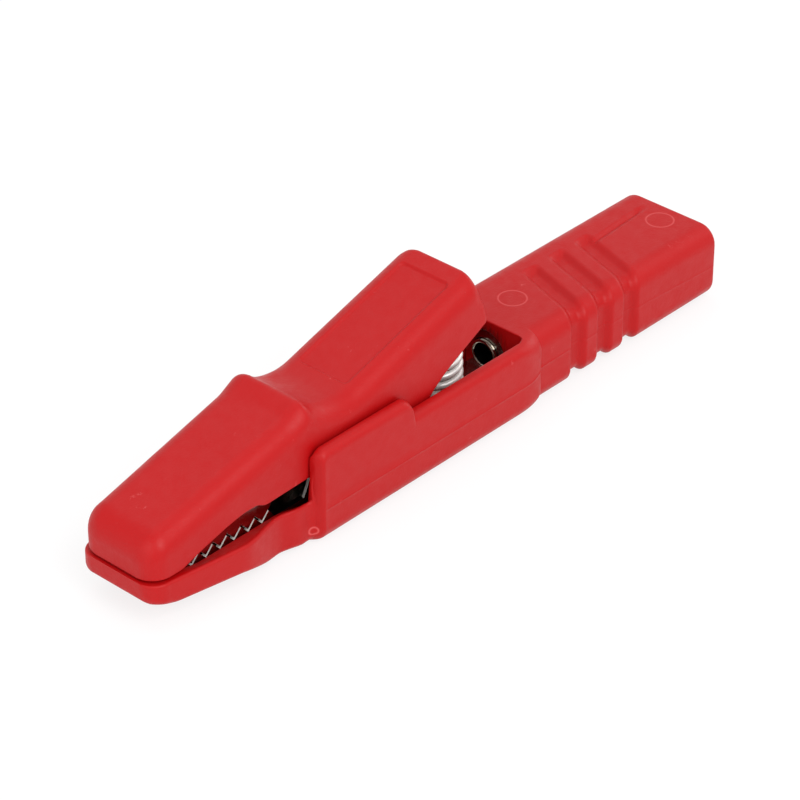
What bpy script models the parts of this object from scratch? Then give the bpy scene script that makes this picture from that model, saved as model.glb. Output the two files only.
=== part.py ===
"""Insulated crocodile clip with a 4 mm socket in its handle.

Two red moulded shells cover a pair of nickel-plated toothed jaws. The lower shell, its jaw, the
socket and the pin stay still. The upper shell and its jaw turn about the pin against a spring.
The clip lies along X with its nose at -X, and stands on Z = 0.
"""

from math import atan, cos, pi, radians, sin, sqrt

import bmesh
import bpy
from mathutils import Matrix, Vector

# Sizes are in millimetres, and MM turns them into metres
MM = 0.001

# Lengths along the clip, which follow each other from the nose to the socket end
JAW_LENGTH = 20.6
CHEEK_LENGTH = 14.4
WELL_LENGTH = 17.05
HANDLE_LENGTH = 30.45

# Lower shell
BODY_WIDTH = 14.0
HANDLE_WIDTH = 12.6
HANDLE_HEIGHT = 8.55
CHEEK_RISE = 2.05
BODY_EDGE = 1.0
BODY_CORNER = 1.9
HANDLE_CORNER = 2.1
SHOULDER_LENGTH = 3.4
LIP_WIDTH = 10.6
BULGE_WIDTH = 13.0
WAIST_WIDTH = 10.9
NECK_WIDTH = 11.9
BULGE_TO_BODY = 9.4
WAIST_TO_BODY = 4.1
NECK_TO_BODY = 1.8
FILLET_LENGTH = 1.3
NOSE_CORNER = 2.1
SEAM_HEIGHT = 5.15
CHIN_HEIGHT = 2.25
CHIN_DROP = 0.5
CHIN_SWEEP = 0.55
THROAT_HEIGHT = 0.45
LEDGE_DROP = 0.55
LEDGE_WALL = 0.8
CHIN_EDGE = 0.7
NOSE_WALL = 1.2
JAW_FLOOR = 1.0
BODY_FLOOR = 1.3
CHEEK_CORNER = 1.3
END_EDGE = 0.4

# Grip grooves in the near side and the top of the handle
GROOVE_COUNT = 3
GROOVE_WIDTH = 2.2
GROOVE_PITCH = 4.3
GROOVE_DEPTH = 0.45
GROOVE_START = 6.5
GROOVE_SWEEP = 3.6
GROOVE_REACH = 9.5

# Upper shell
UPPER_NOSE_WIDTH = 10.1
LEVER_WIDTH = 10.6
UPPER_CORNER = 2.2
NOSE_SETBACK = 0.25
FOREHEAD_RADIUS = 3.2
FOREHEAD_HEIGHT = 10.15
BROW_SLOPE = 14.2
RIDGE_LIFT = 0.65
SADDLE_HEIGHT = 13.25
SADDLE_TO_RIDGE = 5.2
LEVER_TOP = 18.8
LEVER_REACH = 24.8
LEVER_END_DEPTH = 5.6
LEVER_END_LEAN = 0.25
LEVER_CURVE = 2.0
UPPER_EDGE = 2.3
LEVER_EDGE = 2.25
UPPER_ROOF = 1.2
LEVER_END_WALL = 1.1
MOUTH_RISE = 2.25
MOUTH_STEP = 0.55
MOUTH_START = 4.0
MOUTH_STEP_TO_BODY = 6.1
MOUTH_PEAK_TO_BODY = 8.5
SKIRT_RADIUS = 3.2
PANEL_LENGTH = 15.0
PANEL_WIDTH = 6.4
PANEL_DEPTH = 0.25
PANEL_SETBACK = 2.2

# Hinge
HINGE_TO_CHEEK = 7.4
HINGE_HEIGHT = 7.2
PIN_DIAMETER = 2.5
PIN_SOCKET_DEPTH = 0.7
PIN_CHAMFER = 0.25

# Toothed jaws
SHEET = 0.6
JAW_WIDTH = 7.9
JAW_NOSE_CORNER = 2.0
TOOTH_PITCH = 1.88
TOOTH_DEPTH = 1.0
TOOTH_COUNT = 8
TOOTH_TIP_HEIGHT = 5.05
LOWER_EAR_RADIUS = 2.8
UPPER_EAR_RADIUS = 2.6
THROAT_LEVEL = 4.0
EAR_FRONT_HEIGHT = 6.4
EAR_FRONT_TO_HINGE = 6.6
EAR_FRONT_RUN = 1.1
EAR_BACK_TO_HINGE = 5.9
STRAP_WIDTH = 5.2
TAB_WIDTH = 5.3
TAB_HEIGHT = 7.0
TONGUE_END_HEIGHT = 13.8
TONGUE_START_TO_HINGE = 5.0
TONGUE_FLANGE = 1.3
TONGUE_FLANGE_LENGTH = 6.4
EAR_ROOF_HEIGHT = 10.3

# Return spring
WIRE_DIAMETER = 0.7
COIL_DIAMETER = 5.2
COIL_TURNS = 9.0
COIL_TO_HINGE = 17.25
COIL_LEAN = 3.0

# Socket
SOCKET_BORE = 4.0
SOCKET_DIAMETER = 5.2
SPIGOT_DIAMETER = 3.4
SPIGOT_BORE = 2.6
SOCKET_FRONT_WALL = 0.6
COLLAR_DIAMETER = 6.2
COLLAR_LENGTH = 1.5
COLLAR_SETBACK = 4.0
SOCKET_RECESS = 2.4
MOUTH_DIAMETER = 6.6
SLOT_WIDTH = 0.5
SLOT_LENGTH = 9.0

# Clearances
SEAT_GAP = 0.3
RUN_GAP = 0.08
WELL_GAP = 0.3
RIVET_GAP = 0.1

# Facets
CORNER_FACETS = 5
ROUND_FACETS = 32
WIRE_FACETS = 8
TURN_FACETS = 20

# Stations that follow from the sizes above
CHEEK_END = JAW_LENGTH + CHEEK_LENGTH
WELL_END = CHEEK_END + WELL_LENGTH
LENGTH = WELL_END + HANDLE_LENGTH
HINGE_X = JAW_LENGTH + HINGE_TO_CHEEK
CHANNEL_HALF = LEVER_WIDTH / 2 + WELL_GAP
POCKET_HALF = JAW_WIDTH / 2 + SEAT_GAP
BULGE_X = JAW_LENGTH - BULGE_TO_BODY
WAIST_X = JAW_LENGTH - WAIST_TO_BODY
BODY_FRONT = JAW_LENGTH + 0.3
TEETH_START = NOSE_WALL + SEAT_GAP
TEETH_END = TEETH_START + TOOTH_COUNT * TOOTH_PITCH
LEVER_END = HINGE_X - HINGE_TO_CHEEK + LEVER_REACH
RIDGE_X = JAW_LENGTH + 0.6
SADDLE_X = RIDGE_X + SADDLE_TO_RIDGE
LEVER_SLOPE = (LEVER_TOP - SADDLE_HEIGHT) / (LEVER_END - SADDLE_X - LEVER_CURVE / 2)
TONGUE_START = HINGE_X + TONGUE_START_TO_HINGE
TONGUE_END_DROP = LEVER_TOP - UPPER_ROOF - TONGUE_END_HEIGHT
TONGUE_END = LEVER_END - LEVER_END_WALL - SEAT_GAP + LEVER_END_LEAN * TONGUE_END_DROP
TONGUE_HEIGHT = TONGUE_END_HEIGHT - LEVER_SLOPE * (TONGUE_END - TONGUE_START)
INNER_JAW_WIDTH = JAW_WIDTH - 2 * SHEET - 2 * SEAT_GAP
SOCKET_HEIGHT = HANDLE_HEIGHT / 2
STRAP_TOP = BODY_FLOOR + SEAT_GAP + SHEET
OUT_OF_THE_WAY = 30.0


def ease(x, start, end):
    """0 before start, 1 after end, and a smooth turn between them."""
    t = min(1.0, max(0.0, (x - start) / (end - start)))
    return t * t * (3 - 2 * t)


def ramp(x, start, end):
    """0 before start, 1 after end, and a straight line between them."""
    return min(1.0, max(0.0, (x - start) / (end - start)))


def through(x, points):
    """The height at x of a line through points."""
    for (x0, z0), (x1, z1) in zip(points, points[1:]):
        if x <= x1:
            return z0 + (z1 - z0) * max(0.0, (x - x0) / (x1 - x0))
    return points[-1][1]


def quarter(x, start, radius):
    """How far a corner of this radius, which starts at start, is still short of its full width."""
    if x >= start + radius:
        return 0.0
    return radius - sqrt(max(0.0, radius**2 - (start + radius - x) ** 2))


def between(start, end, count):
    return [start + (end - start) * i / count for i in range(count + 1)]


def corner_stations(start, radius, count=5):
    """Stations round a corner, closer together where it is steep."""
    return [start + radius * (1 - cos(pi / 2 * i / count)) for i in range(count + 1)]


# Meshes


def rounded(x, half_width, low, high, low_radius, high_radius, lean=0.0):
    """A closed ring across the clip at x: a rectangle with rounded corners."""
    most = min(half_width, (high - low) / 2) * 0.98
    radii = (min(low_radius, most), min(low_radius, most), min(high_radius, most), min(high_radius, most))
    signs = ((1, -1), (-1, -1), (-1, 1), (1, 1))
    starts = (3, 2, 1, 0)
    ring = []
    for radius, (side, up), start in zip(radii, signs, starts):
        middle_y = side * (half_width - radius)
        middle_z = high - radius if up > 0 else low + radius
        for i in range(CORNER_FACETS + 1):
            turn = pi / 2 * (start + 1 - i / CORNER_FACETS)
            y = middle_y + radius * cos(turn)
            z = middle_z + radius * sin(turn)
            ring.append((x + lean * (high - z), y, z))
    return ring


def loft(rings):
    """A closed skin over rings that have as many points each."""
    mesh = bmesh.new()
    loops = [[mesh.verts.new(point) for point in ring] for ring in rings]
    for near, far in zip(loops, loops[1:]):
        for i in range(len(near)):
            j = (i + 1) % len(near)
            mesh.faces.new((near[i], near[j], far[j], far[i]))
    mesh.faces.new(reversed(loops[0]))
    mesh.faces.new(loops[-1])
    bmesh.ops.recalc_face_normals(mesh, faces=mesh.faces[:])
    return mesh


def prism(outline, low, high):
    """A flat outline in X and Y, raised from low to high."""
    return loft([[(x, y, z) for x, y in outline] for z in (low, high)])


def turned(profile, facets=ROUND_FACETS):
    """A profile of (place along the axis, radius) turned about Z."""
    rings = []
    for along, radius in profile:
        turns = [2 * pi * i / facets for i in range(facets)]
        rings.append([(radius * cos(a), radius * sin(a), along) for a in turns])
    return loft(rings)


def laid(mesh, axis, x, y, z):
    """Turns a piece that was made about Z onto another axis, and moves it to its place."""
    turn = {"X": Matrix.Rotation(pi / 2, 4, "Y"), "Y": Matrix.Rotation(-pi / 2, 4, "X"), "Z": Matrix()}[axis]
    bmesh.ops.transform(mesh, matrix=Matrix.Translation((x, y, z)) @ turn, verts=mesh.verts[:])
    return mesh


def as_object(name, mesh, origin=(LENGTH / 2, 0.0, 0.0)):
    """Turns a mesh in millimetres from the nose into an object in metres about the clip's middle."""
    place = Vector((origin[0] - LENGTH / 2, origin[1], origin[2]))
    bmesh.ops.translate(mesh, vec=Vector((-origin[0], -origin[1], -origin[2])), verts=mesh.verts[:])
    bmesh.ops.scale(mesh, vec=Vector((MM, MM, MM)), verts=mesh.verts[:])
    data = bpy.data.meshes.new(name)
    mesh.to_mesh(data)
    mesh.free()
    obj = bpy.data.objects.new(name, data)
    bpy.context.scene.collection.objects.link(obj)
    obj.location = place * MM
    return obj


def part(name, mesh, material, origin=(LENGTH / 2, 0.0, 0.0), sharp=30):
    obj = as_object(name, mesh, origin)
    obj.data.materials.append(material)
    obj.data.shade_smooth()
    obj.data.set_sharp_from_angle(angle=radians(sharp))
    return obj


def cutter(name, mesh):
    obj = as_object(name, mesh)
    obj.hide_render = True
    obj.display_type = "WIRE"
    return obj


def combine(obj, other, operation):
    modifier = obj.modifiers.new(other.name, "BOOLEAN")
    modifier.operation = operation
    modifier.solver = "EXACT"
    modifier.object = other


def material(name, color, metallic, roughness):
    made = bpy.data.materials.new(name)
    made.use_nodes = True
    shader = made.node_tree.nodes["Principled BSDF"]
    shader.inputs["Base Color"].default_value = (*color, 1.0)
    shader.inputs["Metallic"].default_value = metallic
    shader.inputs["Roughness"].default_value = roughness
    made.diffuse_color = (*color, 1.0)
    return made


# Lower shell: jaw cover, cheeks, well and handle in one moulding


def body_half_width(x):
    """Half the lower shell's width: a bulging jaw, a waist, a neck, the body and then the handle."""
    neck_x = JAW_LENGTH - NECK_TO_BODY
    front = BODY_FRONT - FILLET_LENGTH
    if x < BULGE_X:
        half = LIP_WIDTH / 2 + (BULGE_WIDTH - LIP_WIDTH) / 2 * ramp(x, NOSE_CORNER, BULGE_X)
        return half - quarter(x, 0.0, NOSE_CORNER)
    if x < WAIST_X:
        return BULGE_WIDTH / 2 - (BULGE_WIDTH - WAIST_WIDTH) / 2 * ease(x, BULGE_X, WAIST_X)
    if x < front:
        return WAIST_WIDTH / 2 + (NECK_WIDTH - WAIST_WIDTH) / 2 * ease(x, WAIST_X, neck_x)
    if x < BODY_FRONT:
        t = (x - front) / FILLET_LENGTH
        return NECK_WIDTH / 2 + (BODY_WIDTH - NECK_WIDTH) / 2 * (1 - sqrt(1 - t * t))
    if x < WELL_END - SHOULDER_LENGTH / 2:
        return BODY_WIDTH / 2
    t = min(1.0, (x - WELL_END + SHOULDER_LENGTH / 2) / SHOULDER_LENGTH)
    return HANDLE_WIDTH / 2 + (BODY_WIDTH - HANDLE_WIDTH) / 2 * sqrt(1 - t * t)


def body_bottom(x):
    """The underside: the chin falls slowly, then drops to the flat base at the cheeks."""
    chin = CHIN_HEIGHT - CHIN_DROP * ramp(x, 0.0, BULGE_X)
    chin += CHIN_SWEEP * (1 - ease(x, 0.0, NOSE_CORNER + 1.4))
    z = chin - (CHIN_HEIGHT - CHIN_DROP - THROAT_HEIGHT) * ease(x, BULGE_X - 0.6, BULGE_X + 4.6)
    z -= THROAT_HEIGHT * ease(x, JAW_LENGTH - 2.6, JAW_LENGTH + 0.4)
    return z + quarter(x, 0.0, CHIN_EDGE)


def body_top(x):
    """The seam's edge, the cheek with its two round corners, and the level top of well and handle."""
    if x < JAW_LENGTH - 0.1:
        return SEAM_HEIGHT - SEAT_GAP / 2
    cheek = HANDLE_HEIGHT + CHEEK_RISE
    if x < JAW_LENGTH + 0.1 + CHEEK_CORNER:
        return cheek - quarter(x, JAW_LENGTH + 0.1, CHEEK_CORNER)
    if x < CHEEK_END:
        return cheek - quarter(2 * CHEEK_END - x, CHEEK_END, CHEEK_CORNER)
    return HANDLE_HEIGHT


def body_edges(x):
    """The radii of the lower and the upper edges."""
    low = CHIN_EDGE + (BODY_CORNER - CHIN_EDGE) * ease(x, JAW_LENGTH - 1.6, JAW_LENGTH + 0.6)
    low += (HANDLE_CORNER - BODY_CORNER) * ease(x, WELL_END - 1, WELL_END + 2)
    high = 0.25 + (BODY_EDGE - 0.25) * ease(x, JAW_LENGTH - 0.2, JAW_LENGTH + 0.2)
    high += (HANDLE_CORNER - BODY_EDGE) * ease(x, WELL_END - 2, WELL_END + 2)
    return low, high


def body_ring(x, inset=0.0):
    low, high = body_edges(x)
    return rounded(
        x,
        body_half_width(x) - inset,
        body_bottom(x) + inset,
        body_top(x) - inset,
        max(0.05, low - inset),
        max(0.05, high - inset),
    )


def lower_shell_mesh():
    shoulder = WELL_END - SHOULDER_LENGTH / 2
    steps = corner_stations(0.0, NOSE_CORNER)[1:]
    steps += [CHIN_EDGE * 0.3, NOSE_CORNER + 0.7]
    steps += between(NOSE_CORNER + 1.4, BULGE_X - 0.6, 3)
    steps += between(BULGE_X, WAIST_X, 8)
    steps += between(WAIST_X, JAW_LENGTH - NECK_TO_BODY, 4)
    steps += [JAW_LENGTH - 1.4, BODY_FRONT - FILLET_LENGTH]
    steps += [BODY_FRONT - FILLET_LENGTH * (1 - sin(a)) for a in (0.3, 0.55, 0.75, 0.95)]
    steps += [JAW_LENGTH - 0.12, JAW_LENGTH + 0.1]
    steps += corner_stations(JAW_LENGTH + 0.1, CHEEK_CORNER)[1:]
    steps += [BODY_FRONT]
    steps += [2 * CHEEK_END - s for s in corner_stations(CHEEK_END, CHEEK_CORNER)][:-1]
    steps += [CHEEK_END - CHEEK_CORNER, CHEEK_END + 0.02]
    steps += [shoulder + SHOULDER_LENGTH * sin(pi / 2 * i / 8) for i in range(9)]
    steps += [LENGTH - END_EDGE]
    stations = sorted(set(round(s, 4) for s in steps))
    rings = [body_ring(0.0)] + [body_ring(x) for x in stations]
    for x, inset in ((LENGTH - END_EDGE * 0.3, END_EDGE * 0.3), (LENGTH, END_EDGE)):
        rings.append([(x, y, z) for _, y, z in body_ring(LENGTH - END_EDGE, inset)])
    return loft(rings)


def floor_height(x):
    """The inside floor, which keeps the jaw's wall and the body's wall."""
    jaw = body_bottom(max(x, NOSE_CORNER)) + JAW_FLOOR
    body = BODY_FLOOR
    return jaw + (body - jaw) * ease(x, JAW_LENGTH - 2.0, JAW_LENGTH + 1.5)


def lower_hollow_mesh():
    """The jaw's pocket, which widens past the waist into the channel and the well."""
    corner = NOSE_CORNER - 0.4
    throat = JAW_LENGTH - 0.5
    steps = [NOSE_WALL + 0.01] + corner_stations(NOSE_WALL, corner)[1:]
    steps += between(BULGE_X, WAIST_X - 1.0, 3)
    steps += between(WAIST_X, throat, 4)
    rings = []
    for x in steps:
        widening = ease(x, WAIST_X - 1.0, JAW_LENGTH - NECK_TO_BODY)
        half = POCKET_HALF - quarter(x, NOSE_WALL, corner)
        half += (NECK_WIDTH / 2 - LEDGE_WALL - POCKET_HALF) * widening
        rings.append(rounded(x, half, floor_height(x), OUT_OF_THE_WAY, 0.3, 0.1))
    for x in between(JAW_LENGTH, JAW_LENGTH + 1.5, 4) + [WELL_END]:
        rings.append(rounded(x, CHANNEL_HALF, floor_height(x), OUT_OF_THE_WAY, 0.3, 0.1))
    return loft(rings)


def ledge_slope_mesh():
    """What slopes the lip's top down towards the pocket, from where the upper shell rises off it."""
    rings = []
    rim = SEAM_HEIGHT - SEAT_GAP / 2
    for x in between(MOUTH_START, WAIST_X, 6) + [JAW_LENGTH - NECK_TO_BODY, JAW_LENGTH + 0.2]:
        drop = LEDGE_DROP * ease(x, MOUTH_START - 0.5, MOUTH_START + 3.0)
        edge = body_half_width(min(x, JAW_LENGTH - NECK_TO_BODY)) - 0.4
        rings.append([(x, -POCKET_HALF, rim - drop), (x, POCKET_HALF, rim - drop)])
        rings[-1] += [(x, edge, rim + 0.02), (x, edge, rim + 1), (x, -edge, rim + 1), (x, -edge, rim + 0.02)]
    return loft(rings)


def groove_mesh(start):
    """A band that sweeps back as it crosses the top, seen from above."""
    near = -HANDLE_WIDTH
    side = -HANDLE_WIDTH / 2

    def sweep(y):
        return GROOVE_SWEEP * sin(pi / 2 * min(1.0, max(0.0, (y - side) / GROOVE_REACH)))

    ys = [near] + between(side, side + GROOVE_REACH, 10)
    front = [(start + sweep(y), y) for y in ys]
    tip = side + GROOVE_REACH
    bulge = GROOVE_WIDTH / 2
    end = [
        (start + GROOVE_SWEEP + bulge - bulge * cos(a), tip + bulge * sin(a))
        for a in (pi * i / 6 for i in range(1, 6))
    ]
    back = [(start + sweep(y) + GROOVE_WIDTH, y) for y in reversed(ys)]
    return prism(front + end + back, -OUT_OF_THE_WAY, OUT_OF_THE_WAY)


def socket_bore_profile():
    """The bore that holds the socket: front to rear, with the recess for its collar and the mouth."""
    hole = SOCKET_DIAMETER / 2 + SEAT_GAP
    groove = COLLAR_DIAMETER / 2 + SEAT_GAP
    collar = WELL_END + COLLAR_SETBACK
    mouth = LENGTH - SOCKET_RECESS
    return [
        (WELL_END - 1.0, hole),
        (collar - SEAT_GAP, hole),
        (collar - SEAT_GAP, groove),
        (collar + COLLAR_LENGTH + SEAT_GAP, groove),
        (collar + COLLAR_LENGTH + SEAT_GAP, hole),
        (mouth - SEAT_GAP, hole),
        (mouth, MOUTH_DIAMETER / 2 - 0.3),
        (LENGTH - 0.5, MOUTH_DIAMETER / 2 - 0.3),
        (LENGTH + 0.5, MOUTH_DIAMETER / 2 + 0.7),
    ]


def make_lower_shell(plastic):
    shell = part("lower_shell", lower_shell_mesh(), plastic)
    combine(shell, cutter("lower_hollow", lower_hollow_mesh()), "DIFFERENCE")
    combine(shell, cutter("ledge_slope", ledge_slope_mesh()), "DIFFERENCE")
    core_steps = (WELL_END + 3.5, LENGTH - 1.0)
    core = cutter("groove_core", loft([body_ring(x, GROOVE_DEPTH) for x in core_steps]))
    for i in range(GROOVE_COUNT):
        start = WELL_END + GROOVE_START + i * GROOVE_PITCH
        groove = cutter(f"groove_{i + 1}", groove_mesh(start))
        combine(groove, core, "DIFFERENCE")
        combine(shell, groove, "DIFFERENCE")
    bore = laid(turned(socket_bore_profile()), "X", 0.0, 0.0, SOCKET_HEIGHT)
    combine(shell, cutter("socket_bore", bore), "DIFFERENCE")
    tab_half = TAB_WIDTH / 2 + SEAT_GAP
    depth = SEAT_GAP + SHEET + SEAT_GAP
    pocket = loft(
        [
            rounded(x, tab_half, BODY_FLOOR, TAB_HEIGHT + SEAT_GAP, 0.1, 2.6)
            for x in (WELL_END - 0.5, WELL_END + depth)
        ]
    )
    combine(shell, cutter("tab_pocket", pocket), "DIFFERENCE")
    half = CHANNEL_HALF + PIN_SOCKET_DEPTH
    radius = PIN_DIAMETER / 2 + RUN_GAP
    hole = laid(turned([(-half, radius), (half, radius)]), "Y", HINGE_X, 0.0, HINGE_HEIGHT)
    combine(shell, cutter("pin_sockets", hole), "DIFFERENCE")
    return shell


# Upper shell: jaw cover and thumb lever in one moulding


def upper_top(x):
    """The top line: a round forehead, a straight brow that lifts to a ridge, a saddle and the lever."""
    slope = sin(radians(BROW_SLOPE)) / cos(radians(BROW_SLOPE))
    lean = radians(BROW_SLOPE)
    middle = NOSE_SETBACK + FOREHEAD_RADIUS
    middle_z = FOREHEAD_HEIGHT - FOREHEAD_RADIUS / cos(lean)
    tangent = middle - FOREHEAD_RADIUS * sin(lean)
    if x < tangent:
        return middle_z + sqrt(max(0.0, FOREHEAD_RADIUS**2 - (middle - x) ** 2))
    ridge = FOREHEAD_HEIGHT + (RIDGE_X - middle) * slope + RIDGE_LIFT
    if x <= RIDGE_X:
        return FOREHEAD_HEIGHT + (x - middle) * slope + RIDGE_LIFT * ramp(x, RIDGE_X - 2.2, RIDGE_X)
    if x < SADDLE_X:
        drop = ridge - SADDLE_HEIGHT
        t = (x - RIDGE_X) / (SADDLE_X - RIDGE_X)
        return SADDLE_HEIGHT + drop * (1 - t) ** 2 * (1 - 0.25 * sin(pi * t))
    t = x - SADDLE_X
    if t < LEVER_CURVE:
        return SADDLE_HEIGHT + LEVER_SLOPE * t * t / (2 * LEVER_CURVE)
    return SADDLE_HEIGHT + LEVER_SLOPE * (t - LEVER_CURVE / 2)


def upper_bottom(x):
    """The lower edge: the nose meets the seam, the mouth arches, the skirt covers the hinge."""
    seam = SEAM_HEIGHT + SEAT_GAP / 2
    mouth = seam + MOUTH_RISE
    step = JAW_LENGTH - MOUTH_STEP_TO_BODY
    end_bottom = LEVER_TOP - LEVER_END_DEPTH
    skirt = HINGE_HEIGHT - SKIRT_RADIUS
    points = [
        (0.0, seam),
        (MOUTH_START, seam),
        (MOUTH_START + 2.45, seam + 0.38 * MOUTH_RISE),
        (MOUTH_START + 5.8, seam + 0.8 * MOUTH_RISE),
        (JAW_LENGTH - MOUTH_PEAK_TO_BODY, mouth),
        (step - 0.6, mouth),
        (step + 0.4, mouth - MOUTH_STEP),
        (JAW_LENGTH + 0.4, mouth - MOUTH_STEP + 0.25),
        (HINGE_X - SKIRT_RADIUS, HINGE_HEIGHT - 0.6),
        (HINGE_X - SKIRT_RADIUS * 0.7, HINGE_HEIGHT - SKIRT_RADIUS * 0.72),
        (HINGE_X - SKIRT_RADIUS * 0.3, skirt + 0.1),
        (HINGE_X + SKIRT_RADIUS * 0.3, skirt + 0.1),
        (HINGE_X + SKIRT_RADIUS * 0.8, HINGE_HEIGHT - SKIRT_RADIUS * 0.6),
        (CHEEK_END + 3.3, HANDLE_HEIGHT + 0.4),
        (LEVER_END + LEVER_END_LEAN * LEVER_END_DEPTH, end_bottom),
    ]
    return through(x, points)


def upper_half_width(x):
    half = UPPER_NOSE_WIDTH / 2 + (LEVER_WIDTH - UPPER_NOSE_WIDTH) / 2 * ramp(x, NOSE_CORNER, JAW_LENGTH)
    return half - quarter(x, NOSE_SETBACK, UPPER_CORNER)


def upper_ring(x, inset=0.0):
    """A ring of the upper shell. Towards the lever's end the rings lean back with its end face."""
    high = upper_top(x)
    lean = LEVER_END_LEAN * ease(x, CHEEK_END - 6, LEVER_END - 1.0)
    low = upper_bottom(x)
    for _ in range(6):
        low = upper_bottom(x + lean * (high - low))
    edge = UPPER_EDGE + (LEVER_EDGE - UPPER_EDGE) * ease(x, RIDGE_X, SADDLE_X)
    return rounded(x, upper_half_width(x) - inset, low + inset * 0.5, high - inset, 0.15, edge, lean)


def upper_stations():
    step = JAW_LENGTH - MOUTH_STEP_TO_BODY
    steps = [NOSE_SETBACK + 0.005] + corner_stations(NOSE_SETBACK, UPPER_CORNER)[1:]
    steps += between(UPPER_CORNER + 1.2, BULGE_X, 3)
    steps += [step - 0.6, step - 0.1, step + 0.4, RIDGE_X - 2.2, RIDGE_X - 0.9, RIDGE_X, RIDGE_X + 0.25]
    steps += between(RIDGE_X + 0.7, SADDLE_X, 5)
    steps += between(SADDLE_X, SADDLE_X + LEVER_CURVE, 4)
    steps += [HINGE_X + SKIRT_RADIUS * k for k in (-1.0, -0.7, -0.3, 0.3, 0.8)]
    steps += between(CHEEK_END - 2.0, LEVER_END - 0.9, 6)
    return sorted(set(round(s, 4) for s in steps))


def upper_shell_mesh():
    rings = [upper_ring(x) for x in upper_stations()]
    rings.append(upper_ring(LEVER_END - 0.45, 0.05))
    rings.append(upper_ring(LEVER_END - 0.12, 0.25))
    rings.append(upper_ring(LEVER_END, 0.6))
    return loft(rings)


def upper_hollow_mesh():
    """The hollow that holds the jaw. It is open below, and follows the roof at one thickness."""
    corner = UPPER_CORNER - 0.8
    start = NOSE_WALL
    steps = [start + 0.01] + corner_stations(start, corner)[1:]
    steps += between(start + corner + 1.0, RIDGE_X - 1.5, 4)
    steps += between(RIDGE_X, SADDLE_X, 4)
    steps += between(SADDLE_X + 1.0, LEVER_END - LEVER_END_WALL, 6)
    rings = []
    for x in sorted(steps):
        lean = LEVER_END_LEAN * ease(x, CHEEK_END - 6, LEVER_END - LEVER_END_WALL)
        half = POCKET_HALF - quarter(x, start, corner)
        thicker = 0.5 * ease(x, RIDGE_X - 2.5, RIDGE_X) * (1 - ease(x, RIDGE_X, SADDLE_X))
        roof = upper_top(x) - UPPER_ROOF - thicker
        rings.append(rounded(x, half, 0.0, roof, 0.1, 1.0, lean))
    return loft(rings)


def make_upper_shell(plastic):
    hinge = (HINGE_X, 0.0, HINGE_HEIGHT)
    shell = part("upper_shell", upper_shell_mesh(), plastic, hinge)
    combine(shell, cutter("upper_hollow", upper_hollow_mesh()), "DIFFERENCE")
    half = LEVER_WIDTH
    radius = PIN_DIAMETER / 2 + RUN_GAP
    hole = laid(turned([(-half, radius), (half, radius)]), "Y", *hinge)
    combine(shell, cutter("upper_pin_hole", hole), "DIFFERENCE")
    rear = LEVER_END - PANEL_SETBACK
    lean = atan(LEVER_SLOPE)
    length = PANEL_LENGTH / cos(lean)
    side = PANEL_WIDTH / 2
    outline = [(-length, -side), (0.0, -side), (0.0, side), (-length, side)]
    panel = prism(outline, -PANEL_DEPTH, 3.0)
    bmesh.ops.bevel(
        panel,
        geom=[e for e in panel.edges if abs(e.verts[0].co.z - e.verts[1].co.z) > 1],
        offset=0.5,
        segments=3,
        affect="EDGES",
    )
    bmesh.ops.transform(
        panel,
        matrix=Matrix.Translation((rear, 0.0, upper_top(rear))) @ Matrix.Rotation(-lean, 4, "Y"),
        verts=panel.verts[:],
    )
    combine(shell, cutter("panel_recess", panel), "DIFFERENCE")
    return shell


# Toothed jaws, pressed from sheet


def tooth_line():
    """(x, height) of the lower jaw's zigzag, tip first."""
    half_pitch = TOOTH_PITCH / 2
    return [
        (TEETH_START + i * half_pitch, TOOTH_TIP_HEIGHT - TOOTH_DEPTH * (i % 2))
        for i in range(2 * TOOTH_COUNT + 1)
    ]


def arc_points(radius, start, end, count):
    """Points round the hinge, from one angle in degrees to another."""
    return [
        (HINGE_X + radius * cos(radians(a)), HINGE_HEIGHT + radius * sin(radians(a)))
        for a in between(start, end, count)
    ]


def lower_jaw_outline():
    """Points of the lower jaw's top edge: teeth, throat, the ear round the hinge and the strap."""
    front = HINGE_X - EAR_FRONT_TO_HINGE
    back = HINGE_X + EAR_BACK_TO_HINGE
    line = tooth_line()
    line += [(TEETH_END + 0.8, THROAT_LEVEL), (front, THROAT_LEVEL)]
    line += [(front + EAR_FRONT_RUN, EAR_FRONT_HEIGHT)]
    line += arc_points(LOWER_EAR_RADIUS, 115, 15, 8)
    line += [(back - 0.5, STRAP_TOP + 0.5), (back, STRAP_TOP)]
    return line


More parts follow.
